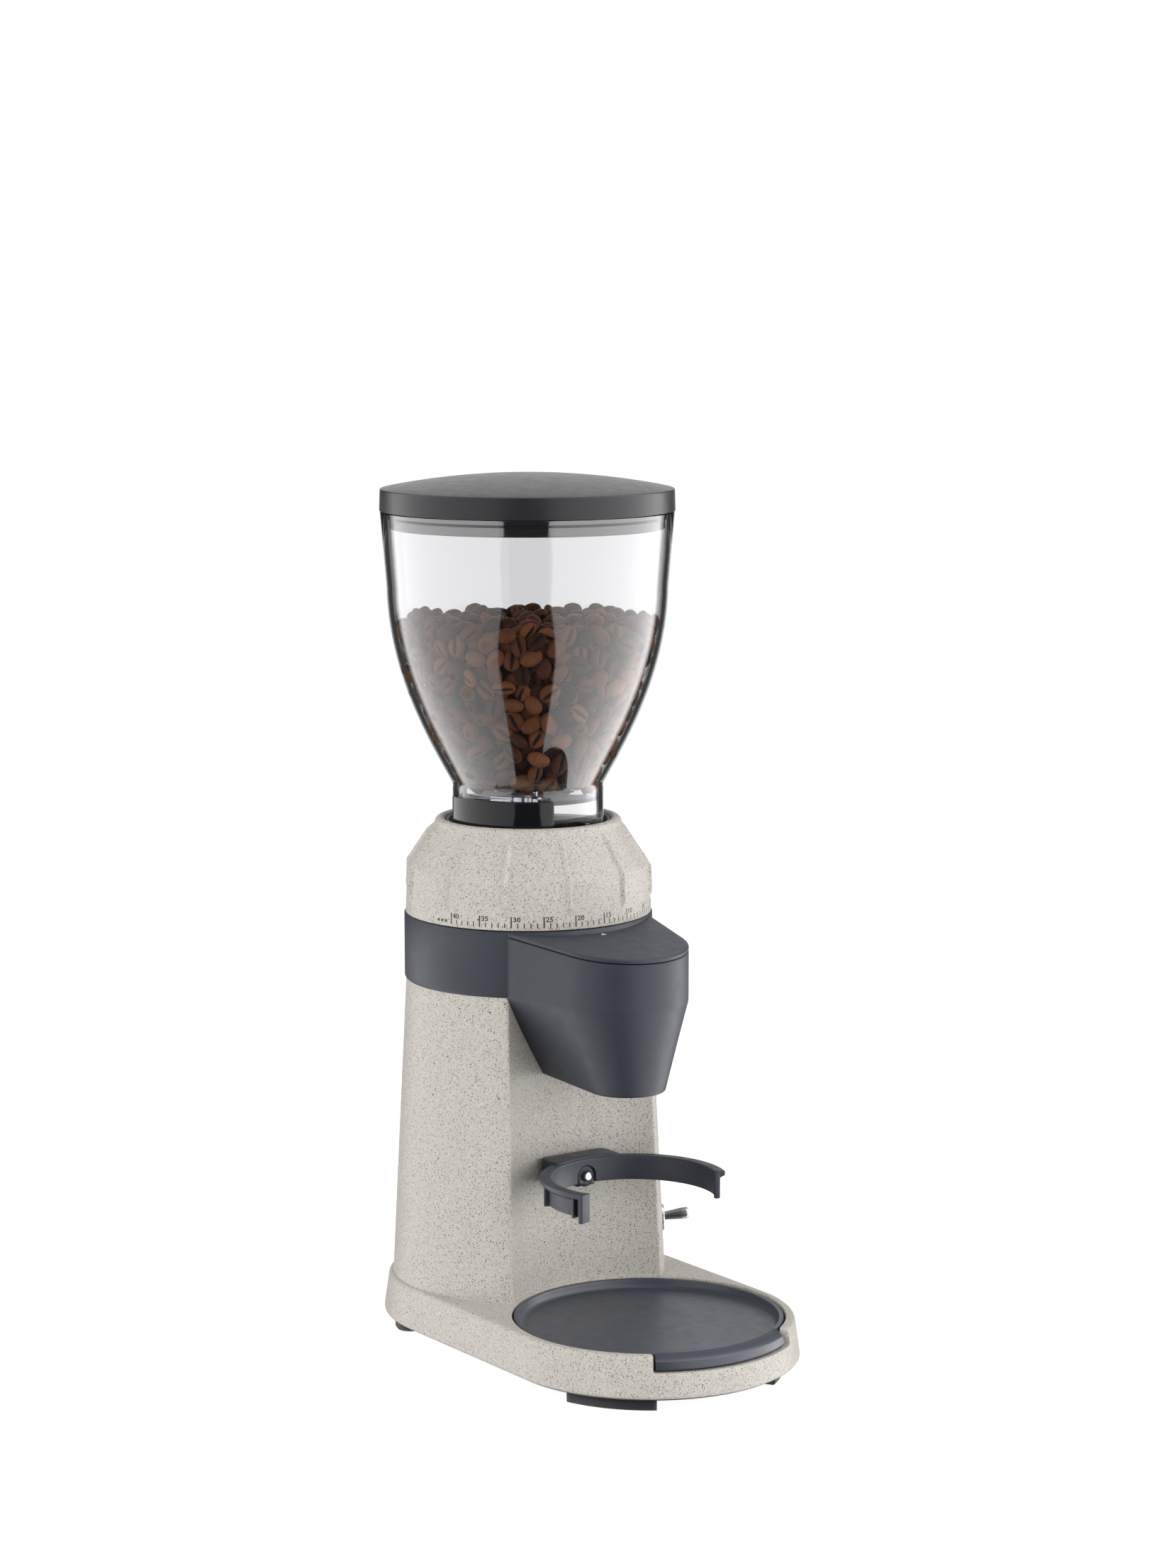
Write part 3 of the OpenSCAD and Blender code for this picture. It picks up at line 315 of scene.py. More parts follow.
def new_piece(name, solids, material, body, node=None, smooth_angle=35):
    """Makes a visible piece that rides on a body and may replace a CAD node."""
    piece = loose(solids, name)
    shade(piece.data, smooth_angle)
    piece.data.materials.append(MATERIALS[material])
    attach(piece, body)
    if node:
        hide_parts(node)
    return piece


def shade(mesh, angle):
    """Smooth shading, with a crease wherever faces meet at more than angle degrees."""
    mesh.shade_smooth()
    mesh.set_sharp_from_angle(angle=math.radians(angle))


def polar(turn, r, z, centre_y=0.0):
    """The point at turn degrees from the front, counted towards +X."""
    a = math.radians(turn)
    return (r * math.sin(a), centre_y - r * math.cos(a), z)


def from_front(turn):
    """How many degrees a turn lies from the front, on either side."""
    return abs((turn + 180) % 360 - 180)


def arc(centre_x, centre_z, radius, start, end, step):
    """Points of an arc from start to end degrees, both included."""
    return [(centre_x + radius * math.cos(math.radians(a)), centre_z + radius * math.sin(math.radians(a)))
            for a in range(start, end + 1, step)]


def rounded(corners, radius, steps=5):
    """An open outline with each inner corner rounded. A corner may give its own radius as a third value."""
    line = [corners[0][:2]]
    for before, here, after in zip(corners, corners[1:], corners[2:]):
        size = here[2] if len(here) > 2 else radius
        h = Vector(here[:2])
        to_before, to_after = Vector(before[:2]) - h, Vector(after[:2]) - h
        turn = to_before.angle(to_after)
        reach = min(size / math.tan(turn / 2), to_before.length * 0.49, to_after.length * 0.49)
        start, end = h + to_before.normalized() * reach, h + to_after.normalized() * reach
        for k in range(steps + 1):
            t = k / steps
            line.append(tuple(start * (1 - t) ** 2 + h * 2 * t * (1 - t) + end * t ** 2))
    line.append(corners[-1][:2])
    return line


def ring_faces(columns, rows, around=True, along=True, first=0):
    """Faces of a grid of columns, each with that many rows, joined round and along where it closes on itself."""
    faces = []
    for k in range(columns if around else columns - 1):
        this, after = first + k * rows, first + (k + 1) % columns * rows
        for i in range(rows if along else rows - 1):
            j = (i + 1) % rows
            faces.append((this + i, after + i, after + j, this + j))
    return faces


class Solids:
    """Closed solids gathered as lists of points and faces. Each method adds one and returns the gathering."""

    def __init__(self, points=(), faces=()):
        self.points, self.faces = list(points), list(faces)

    def sweep(self, sections, around=True, along=True):
        """A solid through matching sections, capped where it doesn't close on itself."""
        first, rows = len(self.points), len(sections[0])
        self.points += [point for section in sections for point in section]
        last = len(self.points)
        self.faces += ring_faces(len(sections), rows, around, along, first)
        if not around:
            self.faces += [tuple(range(first, first + rows)), tuple(reversed(range(last - rows, last)))]
        if not along:
            self.faces += [tuple(range(first, last, rows)), tuple(reversed(range(first + rows - 1, last, rows)))]
        return self

    def prism(self, low, high):
        """A solid between two matching loops of points."""
        return self.sweep(list(zip(low, high)), along=False)

    def box(self, low, high, place=Matrix.Identity(4)):
        loops = [[place @ Vector((x, y, z)) for x, y in
                  ((low[0], low[1]), (high[0], low[1]), (high[0], high[1]), (low[0], high[1]))]
                 for z in (low[2], high[2])]
        return self.prism(*loops)

    def drum(self, low, high, columns):
        """A solid from columns of points that run from one pole to the other."""
        first, rows = len(self.points), len(columns[0])
        self.points += [low, high] + [point for column in columns for point in column]
        self.faces += ring_faces(len(columns), rows, True, False, first + 2)
        for k in range(len(columns)):
            this, after = first + 2 + k * rows, first + 2 + (k + 1) % len(columns) * rows
            self.faces += [(first, after, this), (first + 1, this + rows - 1, after + rows - 1)]
        return self

    def spun(self, outline, place, segments=64):
        """A solid turned about place's Z axis. Its outline runs from one end of the axis to the other."""
        columns = []
        for k in range(segments):
            a = 2 * math.pi * k / segments
            columns.append([place @ Vector((r * math.cos(a), r * math.sin(a), z)) for r, z in outline[1:-1]])
        low, high = (place @ Vector((0, 0, outline[end][1])) for end in (0, -1))
        return self.drum(low, high, columns)

    def rod(self, radius, low, high, place, segments=48, edge=0.01):
        """A plain rod along place's Z axis, with broken edges."""
        return self.spun([(0, low), (radius - edge, low), (radius, low + edge), (radius, high - edge),
                          (radius - edge, high), (0, high)], place, segments)


def turned(name, outline, material, body, node=None, segments=160, push=None, smooth_angle=35):
    """Revolves a closed (r, z) outline about the column's axis. push(turn, r, z) may return an extra radius."""
    sections = []
    for k in range(segments):
        turn = 360 * k / segments
        sections.append([polar(turn, r + (push(turn, r, z) if push else 0.0), z, COLUMN_Y) for r, z in outline])
    return new_piece(name, Solids().sweep(sections), material, body, node, smooth_angle)


def settle(piece, angle):
    """Turns a piece's modifiers into its mesh."""
    graph = bpy.context.evaluated_depsgraph_get()
    graph.update()
    mesh = bpy.data.meshes.new_from_object(piece.evaluated_get(graph))
    piece.modifiers.clear()
    piece.data = mesh
    shade(mesh, angle)


def cut(piece, solids, angle=35):
    """Cuts gathered solids out of a piece."""
    cutter = loose(solids)
    change = piece.modifiers.new("cut", "BOOLEAN")
    change.operation, change.solver, change.object = "DIFFERENCE", "EXACT", cutter
    settle(piece, angle)
    bpy.data.objects.remove(cutter)


def soften(piece, width, angle=35, segments=3):
    """Rounds a piece's sharp edges."""
    change = piece.modifiers.new("soft_edges", "BEVEL")
    change.width, change.segments = width * MM, segments
    change.limit_method, change.angle_limit = "ANGLE", math.radians(angle)
    settle(piece, angle)


def finish_node(name):
    """Gives a CAD node its slot's material and smooth shading."""
    node = NODES[name]
    node.data.materials.clear()
    node.data.materials.append(MATERIALS[SLOT_OF[name]])
    weld = node.modifiers.new("weld", "WELD")
    weld.merge_threshold = 0.002 * MM
    shade(node.data, 30)


def bezier(ends_and_handles, steps):
    """Points along a cubic curve, its last point left out."""
    line = []
    for t in (k / steps for k in range(steps)):
        weights = ((1 - t) ** 3, 3 * (1 - t) ** 2 * t, 3 * (1 - t) * t * t, t ** 3)
        line.append(tuple(sum(w * p[axis] for w, p in zip(weights, ends_and_handles)) for axis in (0, 1)))
    return line


# ---- Hopper ----

NECK_R, NECK_LOW, NECK_HIGH = 34.2, 225.0, 250.8
GATE_LOW, GATE_HIGH = 246.6, 248.6
BOWL = ((NECK_R, NECK_HIGH), (45.3, 270.8), (62.6, 300.9), (63.3, 340.0))
RIM_R, RIM_Z = 66.0, 373.4
WALL = 2.6
BOWL_OUTER = bezier(BOWL, 40) + [BOWL[3], (64.65, 356.7), (RIM_R, RIM_Z)]


def offset_line(line, distance):
    """The outline moved inwards, towards the axis, by distance along its own normals."""
    moved = []
    for i, here in enumerate(line):
        a, b = Vector(line[max(i - 1, 0)]), Vector(line[min(i + 1, len(line) - 1)])
        along = (b - a).normalized()
        moved.append((here[0] - along.y * distance, here[1] + along.x * distance))
    return moved


INNER = [(NECK_R - WALL, NECK_HIGH - 1.5)] + [p for p in offset_line(BOWL_OUTER, WALL) if p[1] > NECK_HIGH]


def inner_radius(z):
    """The bowl's inner radius at a height, from its offset outline."""
    line = [(NECK_R - WALL, NECK_LOW)] + INNER
    for (r0, z0), (r1, z1) in zip(line, line[1:]):
        if z0 <= z <= z1:
            return r0 + (r1 - r0) * (z - z0) / (z1 - z0)
    return line[-1][0]


def make_hopper():
    outer = [(NECK_R, NECK_LOW)] + BOWL_OUTER
    top = rounded([(RIM_R - 0.02, RIM_Z - 0.8), (RIM_R, RIM_Z), (RIM_R - WALL, RIM_Z), INNER[-1]], 0.7)
    inner = [p for p in reversed(INNER) if p[1] < RIM_Z - 1]
    outline = outer[:-1] + top[1:-1] + inner + [(NECK_R - WALL, NECK_LOW)]
    turned("hopper_glass", outline, "clear_plastic", "bean_hopper", "hopper", 192)
    gate_plate("hopper_gate", GATE_LOW, GATE_HIGH, NECK_R - WALL - 0.05, "clear_plastic", "bean_hopper")


def gate_plate(name, low, high, rim, material, body):
    """A round plate with four sector openings, made from those cells of a round grid that are solid."""
    columns, openings = 96, 4
    rings = (0.4, 5.0, 15.0, 28.5, rim)
    open_rings = range(1, 3)
    every = 360 / openings

    def at(level, k, i):
        return (level * columns + k % columns) * len(rings) + i

    def solid(k, i):
        in_opening = (360 * (k + 0.5) / columns + every / 4) % every < every / 2
        return 0 <= i < len(rings) - 1 and not (in_opening and i in open_rings)

    plate = Solids([polar(360 * k / columns, r, z, COLUMN_Y)
                    for z in (low, high) for k in range(columns) for r in rings])
    for k in range(columns):
        for i in range(len(rings) - 1):
            if not solid(k, i):
                continue
            corners = ((k, i), (k + 1, i), (k + 1, i + 1), (k, i + 1))
            plate.faces += [[at(level, *c) for c in corners] for level in (0, 1)]
            neighbours = ((k, i - 1), (k + 1, i), (k, i + 1), (k - 1, i))
            for a, b, beside in zip(corners, corners[1:] + corners[:1], neighbours):
                if not solid(*beside):
                    plate.faces.append([at(0, *a), at(0, *b), at(1, *b), at(1, *a)])
    new_piece(name, plate, material, body)


# ---- Coffee beans ----

BEAN = (5.1, 3.95, 2.9)
BEAN_LEVEL = 325.0
RINGS, ROUND = 11, 16


def bean_shape(draw):
    """Points, faces and furrow depth of one bean: domed on one side, flat with an S-shaped furrow on the other."""
    a, b, c = (size * draw.uniform(0.9, 1.08) for size in BEAN)
    sway, bend = draw.uniform(-0.5, 0.5), draw.uniform(-0.25, 0.25)
    points, furrows, faces = [(-a, 0, 0)], [0.0], []
    for i in range(1, RINGS):
        along = -math.cos(math.pi * i / RINGS)
        girth = (1 - along * along) ** 0.46
        for k in range(ROUND):
            turn = 2 * math.pi * k / ROUND
            turn -= 0.42 * math.sin(2 * turn) if math.cos(turn) < 0 else 0.0
            side, up = math.sin(turn), math.cos(turn)
            height = c * up if up > 0 else c * 0.62 * up
            y = b * side * girth
            line = sway * math.sin(along * 2.6)
            groove = math.exp(-((y - line) / 0.75) ** 2) * max(0.0, 1 - along ** 4) if up < 0 else 0.0
            z = height * girth + groove * 1.15 * girth + bend * along * along
            points.append((a * along, y, z))
            furrows.append(groove)
    points.append((a, 0, 0))
    furrows.append(0.0)
    last = len(points) - 1
    for k in range(ROUND):
        n = (k + 1) % ROUND
        faces.append((0, 1 + n, 1 + k))
        faces.append((last, last - ROUND + k, last - ROUND + n))
        for i in range(RINGS - 2):
            row = 1 + i * ROUND
            faces.append((row + k, row + n, row + ROUND + n, row + ROUND + k))
    return points, faces, furrows


def wall_normal(z):
    """The slope of the inner wall at a height, as the outward normal's (radial, vertical) parts."""
    rise = (inner_radius(min(z + 1.5, 372)) - inner_radius(max(z - 1.5, GATE_HIGH))) / 3
    length = math.hypot(1, rise)
    return 1 / length, -rise / length


def bean_places(draw):
    """Where beans lie: layers against the wall, then heaped layers at the top. Each is (centre, thin axis, spin)."""
    places, grid = [], {}
    floor, cell_size = GATE_HIGH + 3.4, 6
    wall_layers = ((0.0, 6.9, 9000), (4.6, 6.4, 6000))                              # depth, gap, tries
    top_layers = ((-9, 6.6, 1500), (-4, 6.8, 1500), (0, 7.2, 1500), (3.2, 9.5, 220))    # rise, gap, tries

    def free(p, gap):
        cell = tuple(int(math.floor(v / cell_size)) for v in p)
        for step in product((-2, -1, 0, 1, 2), repeat=3):
            for q in grid.get(tuple(c + s for c, s in zip(cell, step)), ()):
                if (q - p).length < gap:
                    return False
        grid.setdefault(cell, []).append(p)
        return True

    for depth, gap, tries in wall_layers:
        for _ in range(tries):
            z = draw.uniform(GATE_HIGH + 3, BEAN_LEVEL - 2)
            turn = draw.uniform(0, 360)
            out_r, out_z = wall_normal(z)
            out = Vector(polar(turn, out_r, out_z))
            tilt = Vector([draw.gauss(0, 0.36) for _ in range(3)])
            thin = (out + tilt).normalized() * draw.choice((-1, 1))
            inset = 2.5 + depth + draw.uniform(0, 0.8) + 2.2 * (1 - abs(thin.dot(out)))
            height = max(floor, z - inset * out_z)
            centre = Vector(polar(turn, inner_radius(height) - inset / out_r, height, COLUMN_Y))
            if free(centre, gap):
                places.append((centre, thin, draw.uniform(0, 2 * math.pi)))
    for rise, gap, tries in top_layers:
        for _ in range(tries):
            turn, reach = draw.uniform(0, 360), math.sqrt(draw.random()) * (inner_radius(BEAN_LEVEL) - 6.5)
            heap = 1.6 * math.sin(reach / 9 + 1) * math.cos(math.radians(turn) * 3)
            height = BEAN_LEVEL - 1.5 + rise + heap + draw.uniform(-0.8, 0.8)
            centre = Vector(polar(turn, reach, height, COLUMN_Y))
            if free(centre, gap):
                thin = Vector([draw.gauss(0, 0.45), draw.gauss(0, 0.45), draw.choice((-1, 1, 1))]).normalized()
                places.append((centre, thin, draw.uniform(0, 2 * math.pi)))
    return places


def make_beans():
    draw = random.Random(7)
    shapes = [bean_shape(draw) for _ in range(10)]
    places = bean_places(draw)
    parts = 3
    for part in range(parts):
        points, faces, tones, furrows = [], [], [], []
        for centre, thin, spin in places[part::parts]:
            local, local_faces, local_furrows = draw.choice(shapes)
            turn = thin.to_track_quat("Z", "Y").to_matrix() @ Matrix.Rotation(spin, 3, "Z")
            first = len(points)
            points += [centre + turn @ Vector(p) for p in local]
            faces += [tuple(first + i for i in f) for f in local_faces]
            tone = min(1.0, max(0.0, draw.gauss(0.42, 0.26)))
            tones += [tone] * len(local)
            furrows += local_furrows
        node = "coffee_beans" if part == 0 else None
        piece = new_piece(f"beans_{part + 1}", Solids(points, faces), "coffee", "bean_hopper", node, 80)
        for name, values in (("tone", tones), ("furrow", furrows)):
            piece.data.attributes.new(name, "FLOAT", "POINT").data.foreach_set("value", values)
    make_bean_core(draw)


def make_bean_core(draw):
    """The dark middle of the heap, behind the outer layers, with a surface as lumpy as the beans."""
    depth, rows, columns = 7.5, 26, 90
    line = []
    for i in range(rows):
        z = GATE_HIGH + 2 + (BEAN_LEVEL - 8 - GATE_HIGH) * i / (rows - 1)
        line.append((inner_radius(z) - depth, z))
    sections = [[Vector(polar(360 * k / columns, r + draw.uniform(-1.2, 1.2), z + draw.uniform(-1, 1), COLUMN_Y))
                 for r, z in line] for k in range(columns)]
    low, high = (Vector((0, COLUMN_Y, line[end][1])) for end in (0, -1))
    new_piece("beans_core", Solids().drum(low, high, sections), "coffee", "bean_hopper", smooth_angle=80)


# ---- Dial ----

RIBS = 12
RIB_TURN = 15
RIB_HALF, RIB_HIGH = 1.25, 1.7
DIAL_WIDE = ((55.6, 192.5), (54.7, 214.5))
CREST_R, CREST_Z, CREST = 39.75, 233.0, 2.55


def rib(turn, r, z):
    """The low ribs on the dial, fading out at both ends."""
    around = (turn - RIB_TURN + 180 / RIBS) % (360 / RIBS) - 180 / RIBS
    across = abs(math.radians(around)) * r
    if across > RIB_HALF or r < 41.5:
        return 0.0
    fade = min(1.0, max(0.0, (z - 199.5) / 3)) * min(1.0, max(0.0, (231.5 - z) / 2.5))
    return RIB_HIGH * (1 - across / RIB_HALF) ** 0.8 * fade


def steps_between(start, end, count):
    """Even steps from one outline corner to another, with both ends left out."""
    return [tuple(a + (b - a) * t / count for a, b in zip(start, end)) for t in range(1, count)]


def make_dial():
    low, high = DIAL_WIDE
    crest = arc(CREST_R, CREST_Z, CREST, 0, 180, 15)
    side = steps_between(low, high, 16)
    slope = steps_between(high, (CREST_R + CREST, CREST_Z), 14)
    knee = rounded([side[-1], high, slope[0]], 2.2, 6)[1:-1]
    foot = rounded([(53.0, low[1]), low, side[0]], 0.5, 3)[1:-1]
    outline = [(52.9, low[1])] + foot + side[1:-1] + knee + slope[1:] + crest
    outline += [(37.2, 205.0), (52.0, 200.0), (52.9, 198.5)]
    turned("dial_body", outline, "stone_enamel", "grind_dial", "dial", 720, rib, 50)


def on_dial(turn, z, proud):
    """A point on the dial's lower face, proud of it by some millimetres."""
    low, high = DIAL_WIDE
    r = low[0] + (high[0] - low[0]) * (z - low[1]) / (high[1] - low[1])
    return polar(turn, r + proud, z, COLUMN_Y)


MARKS, LONG_EVERY = 40, 5
MARK_STEP = 3
FIRST_MARK = 48
INK_SUNK, INK_PROUD = -0.1, 0.04
FIGURE_TALL, FIGURE_STRETCH = 2.3, 1.12


def dial_bar(ink, turn, low, high, width):
    """Adds a small printed bar, from low to high."""
    half = math.degrees(width / 2 / DIAL_WIDE[0][0])
    corners = ((-half, low), (half, low), (half, high), (-half, high))
    ink.prism(*([on_dial(turn + a, z, proud) for a, z in corners] for proud in (INK_SUNK, INK_PROUD)))


def dial_figures(ink, text, turn, low):
    """Adds a number's figures, wrapped round the dial, starting at turn."""
    curve = bpy.data.curves.new("figure", "FONT")
    curve.body, curve.size, curve.extrude, curve.offset = text, 1.0, 0.5, 0.02
    curve.resolution_u = 2
    holder = bpy.data.objects.new("figure", curve)
    flat = bpy.data.meshes.new_from_object(holder)
    heights = [v.co.y for v in flat.vertices]
    scale = FIGURE_TALL / (max(heights) - min(heights))
    first = len(ink.points)
    for v in flat.vertices:
        along = math.degrees(v.co.x * scale * FIGURE_STRETCH / DIAL_WIDE[0][0])
        ink.points.append(on_dial(turn + along, low + v.co.y * scale, INK_SUNK if v.co.z < 0 else INK_PROUD))
    ink.faces += [tuple(first + i for i in p.vertices) for p in flat.polygons]
    bpy.data.meshes.remove(flat)
    bpy.data.objects.remove(holder)
    bpy.data.curves.remove(curve)


def make_scale():
    ink, foot = Solids(), DIAL_LOW + 1.3
    for mark in range(MARKS + 1):
        turn = FIRST_MARK - MARK_STEP * mark
        long = mark % LONG_EVERY == 0
        dial_bar(ink, turn, foot, foot + (5.0 if long else 2.1), 0.6 if long else 0.46)
        if long:
            dial_figures(ink, str(mark), turn + 0.75, foot + 2.75)
    coarse = (FIRST_MARK - MARK_STEP * MARKS - 3.2, -2.3, (1.3,) * 3)      # first dot's turn, step, dots' sizes
    fine = (FIRST_MARK + 3.4, 1.3, (0.55,) * 5)
    for end, step, grains in (coarse, fine):
        for k, size in enumerate(grains):
            dial_bar(ink, end + k * step, foot + 1.2 - size / 2, foot + 1.2 + size / 2, size)
    new_piece("dial_scale", ink, "ink", "grind_dial")


# ---- Column ----

COLLAR_LOW, BASE_TOP = 162.5, 25.8
COLUMN_R = (62.3, 55.5)
BAY_R = (61.6, 65.5)
CASING = 2.5


def between(pair, z):
    """A size that changes evenly from the column's foot to its top."""
    return pair[0] + (pair[1] - pair[0]) * (z - BASE_TOP) / (COLLAR_LOW - BASE_TOP)


def column_loop(z, inset, corner):
    """The column's outline at a height: a round back and a hollow front, with rounded corners between them."""
    back, bay = between(COLUMN_R, z) - inset, between(BAY_R, z) + inset
    y = ((bay + corner) ** 2 - (back - corner) ** 2) / (2 * (COLUMN_Y - TRAY_Y))
    x = math.sqrt((back - corner) ** 2 - (y - COLUMN_Y) ** 2)
    edge_turn = math.degrees(math.atan2(x, COLUMN_Y - y))
    bay_turn = math.degrees(math.atan2(x, y - TRAY_Y))
    loop = []
    for k in range(121):
        turn = edge_turn + (360 - 2 * edge_turn) * k / 120
        loop.append(polar(turn, back, z, COLUMN_Y))
    start, sweep = math.radians(edge_turn), math.radians(edge_turn + bay_turn)
    edge = [(x + corner * math.sin(start - sweep * k / 8), y - corner * math.cos(start - sweep * k / 8))
            for k in range(1, 8)]
    loop += [(-px, py, z) for px, py in edge]
    loop += [polar(180 + bay_turn - 2 * bay_turn * k / 48, bay, z, TRAY_Y) for k in range(49)]
    loop += [(px, py, z) for px, py in reversed(edge)]
    return loop


def make_column():
    heights = [BASE_TOP + (COLLAR_LOW - BASE_TOP) * k / 12 for k in range(13)]
    loops = [column_loop(z, 0, 1.4) for z in heights]
    loops += [column_loop(z, CASING, 0.4) for z in reversed(heights)]
    column = new_piece("column_shell", Solids().sweep(list(zip(*loops))), "stone_enamel", "housing", "column")
    cut(column, Solids().rod(5.05, -12, 6, toggle_place()))
    cut(column, Solids().rod(6.35, -0.6, 6, toggle_place() @ Matrix.Rotation(0.01, 4, "Z")))


# ---- Base ----

BASE_R, BASE_LEAN, BASE_LOW = 66.5, 2.1, 7.0
WELL_R, WELL_FLOOR = 60.3, 14.0
NOTCH_TURN, NOTCH_Z = 34.3, 18.3


def stadium(turn, radius):
    """Distance from the tray's axis to an outline round both axes, at turn degrees from the front."""
    a = math.radians(turn)
    s, c = math.sin(a), -math.cos(a)
    gap = COLUMN_Y - TRAY_Y
    if c <= 0:
        return radius
    if abs(s) > 1e-9 and radius / abs(s) * c <= gap:
        return radius / abs(s)
    return gap * c + math.sqrt(radius * radius - (gap * s) ** 2)


def base_turns():
    """Angles about the tray's axis: even steps, with close ones at the notch's ends."""
    turns = [k * 1.5 for k in range(240)]
    for side in (-1, 1):
        for step in (-0.9, -0.6, -0.35, -0.15, 0.0, 0.02, 0.2, 0.45, 0.75, 1.1, 1.6):
            turns.append((side * (NOTCH_TURN + step)) % 360)
    keep = []
    for turn in sorted(turns):
        near_end = any(0.9 < from_front(turn - side * NOTCH_TURN) < 1.05 for side in (-1, 1))
        if not near_end and (not keep or turn - keep[-1] > 0.015):
            keep.append(turn)
    return keep


def notch_top(turn):
    """Height of the base's rim: low inside the notch, with rounded corners at the notch's ends."""
    away = math.radians(from_front(turn) - NOTCH_TURN) * BASE_R
    if away < 0:
        return NOTCH_Z + 0.5 * max(0.0, 1 + away / 0.6) ** 2
    corner = 1.5
    if away < 0.01:
        return NOTCH_Z + 0.6
    return BASE_TOP - corner + math.sqrt(max(0.0, corner ** 2 - max(0.0, corner - away) ** 2))


def base_profile(turn):
    """The base's section at an angle, from the middle of its underside, out, up and in to the well's middle."""
    top = notch_top(turn)
    lean = (top - BASE_LOW) / (BASE_TOP - BASE_LOW) * BASE_LEAN
    foot_edge, rim_edge = 2, 2.4
    low = arc(BASE_R - foot_edge, BASE_LOW + foot_edge, foot_edge, -90, 0, 15)
    edge = rim_edge if top > BASE_TOP - 0.6 else max(0.5, rim_edge - (BASE_TOP - top) * 0.5)
    high = arc(BASE_R - lean - edge, top - edge, edge, 0, 90, 15)
    outer = [(stadium(turn, r), z) for r, z in low + high]
    room = max(WELL_R + 2.7, stadium(turn, BASE_R - 3))
    depth = min(1.0, (room - WELL_R - 2.5) / 2) * (BASE_TOP - WELL_FLOOR)
    roof = min(WELL_FLOOR - CASING + depth, top - CASING)
    inner = [(0.01, WELL_FLOOR - CASING), (WELL_R + 2.5, WELL_FLOOR - CASING), (WELL_R + 2.5, roof),
             (room, roof), (room, BASE_LOW)]
    lip = 0.5
    ends = [(WELL_R + lip, top), (WELL_R + 0.15, top - 0.15), (WELL_R, top - lip), (WELL_R, WELL_FLOOR + 0.3),
            (WELL_R - 0.3, WELL_FLOOR), (0.01, WELL_FLOOR)]
    return inner + outer + ends


def make_base():
    sections = [[polar(turn, r, z, TRAY_Y) for r, z in base_profile(turn)] for turn in base_turns()]
    base = new_piece("base_casting", Solids().sweep(sections), "stone_enamel", "housing", "base", 40)
    low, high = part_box("cord_gland")
    place = Matrix.Translation((0, 0, (low[2] + high[2]) / 2 / MM)) @ Matrix.Rotation(math.radians(-90), 4, "X")
    cut(base, Solids().rod((high[0] - low[0]) / 2 / MM + 0.04, 100, 120, place, 64, 0.3), 40)


# ---- Tray ----

TRAY_R, TRAY_TOP, TRAY_DECK = 59.3, 25.2, 21.2
LIP_TURN = 33.4


def tray_profile(turn):
    """The tray's section at an angle: a dish with a low rim, or a rim that slopes out into the front lip."""
    dish = [(0.01, TRAY_DECK), (30, TRAY_DECK + 0.02), (50, TRAY_DECK + 0.06), (54.2, TRAY_DECK + 0.12),
            (55.6, TRAY_DECK + 0.45), (56.5, TRAY_DECK + 1.3), (56.9, TRAY_DECK + 2.6), (57.2, TRAY_TOP - 0.35)]
    if from_front(turn) > LIP_TURN:
        rim = [(57.35, TRAY_TOP - 0.1), (57.65, TRAY_TOP), (58.9, TRAY_TOP), (59.15, TRAY_TOP - 0.1),
               (TRAY_R, TRAY_TOP - 0.4), (TRAY_R, 22), (TRAY_R, 20), (TRAY_R, 19), (TRAY_R, 18.6)]
    else:
        rim = [(57.35, TRAY_TOP - 0.12), (57.65, TRAY_TOP - 0.16), (60.4, TRAY_TOP - 1.25), (62.3, TRAY_TOP - 2.1),
               (62.75, TRAY_TOP - 2.5), (63.5, 19.9), (63.35, 19.2), (62.8, 18.75), (TRAY_R, 18.7)]
    under = [(TRAY_R, 14.2), (TRAY_R - 0.2, 14), (57.5, 14), (57.3, 14.2), (57.3, 19.2), (0.01, 19.2)]
    return dish + rim + under


def make_tray():
    ends = (LIP_TURN, LIP_TURN + 0.012)
    turns = sorted([k * 2.0 for k in range(180)] + [side * end % 360 for end in ends for side in (1, -1)])
    turns = [turn for turn in turns if not 0.05 < min(abs(from_front(turn) - end) for end in ends) < 0.7]
    sections = [[polar(turn, r, z, TRAY_Y) for r, z in tray_profile(turn)] for turn in turns]
    new_piece("tray_dish", Solids().sweep(sections), "tray_plastic", "grounds_tray", "tray", 32)


# ---- Spout ----

SPOUT_UPPER = (31.1, -23.15, 38.7, 6.15)
SPOUT_LOWER = (17.05, -29.95, 12.4, 16.4)
SPOUT_LOW, SPOUT_RIM, SPOUT_SLOPE = 123.1, 189.7, 5.82
SPOUT_WALL = 2.2
NOSE_STEPS = 24


def spout_outline(shape, inset):
    """A round nose, two straight sides and two ends that run back into the collar, as (x, y) from left to right."""
    r, centre, half, back = shape
    reach = math.hypot(half, back - centre)
    tangent = math.atan2(half, centre - back) - math.acos(r / reach)
    nose_r = r - inset
    turns = [tangent * k / NOSE_STEPS for k in range(NOSE_STEPS + 1)]
    nose = [(nose_r * math.sin(a), centre - nose_r * math.cos(a)) for a in turns]
    corner = (half - inset, back)
    right = nose + steps_between(nose[-1], corner, 6) + [corner, (corner[0], back + 5), (corner[0], back + 10)]
    return [(-x, y) for x, y in reversed(right[1:])] + right


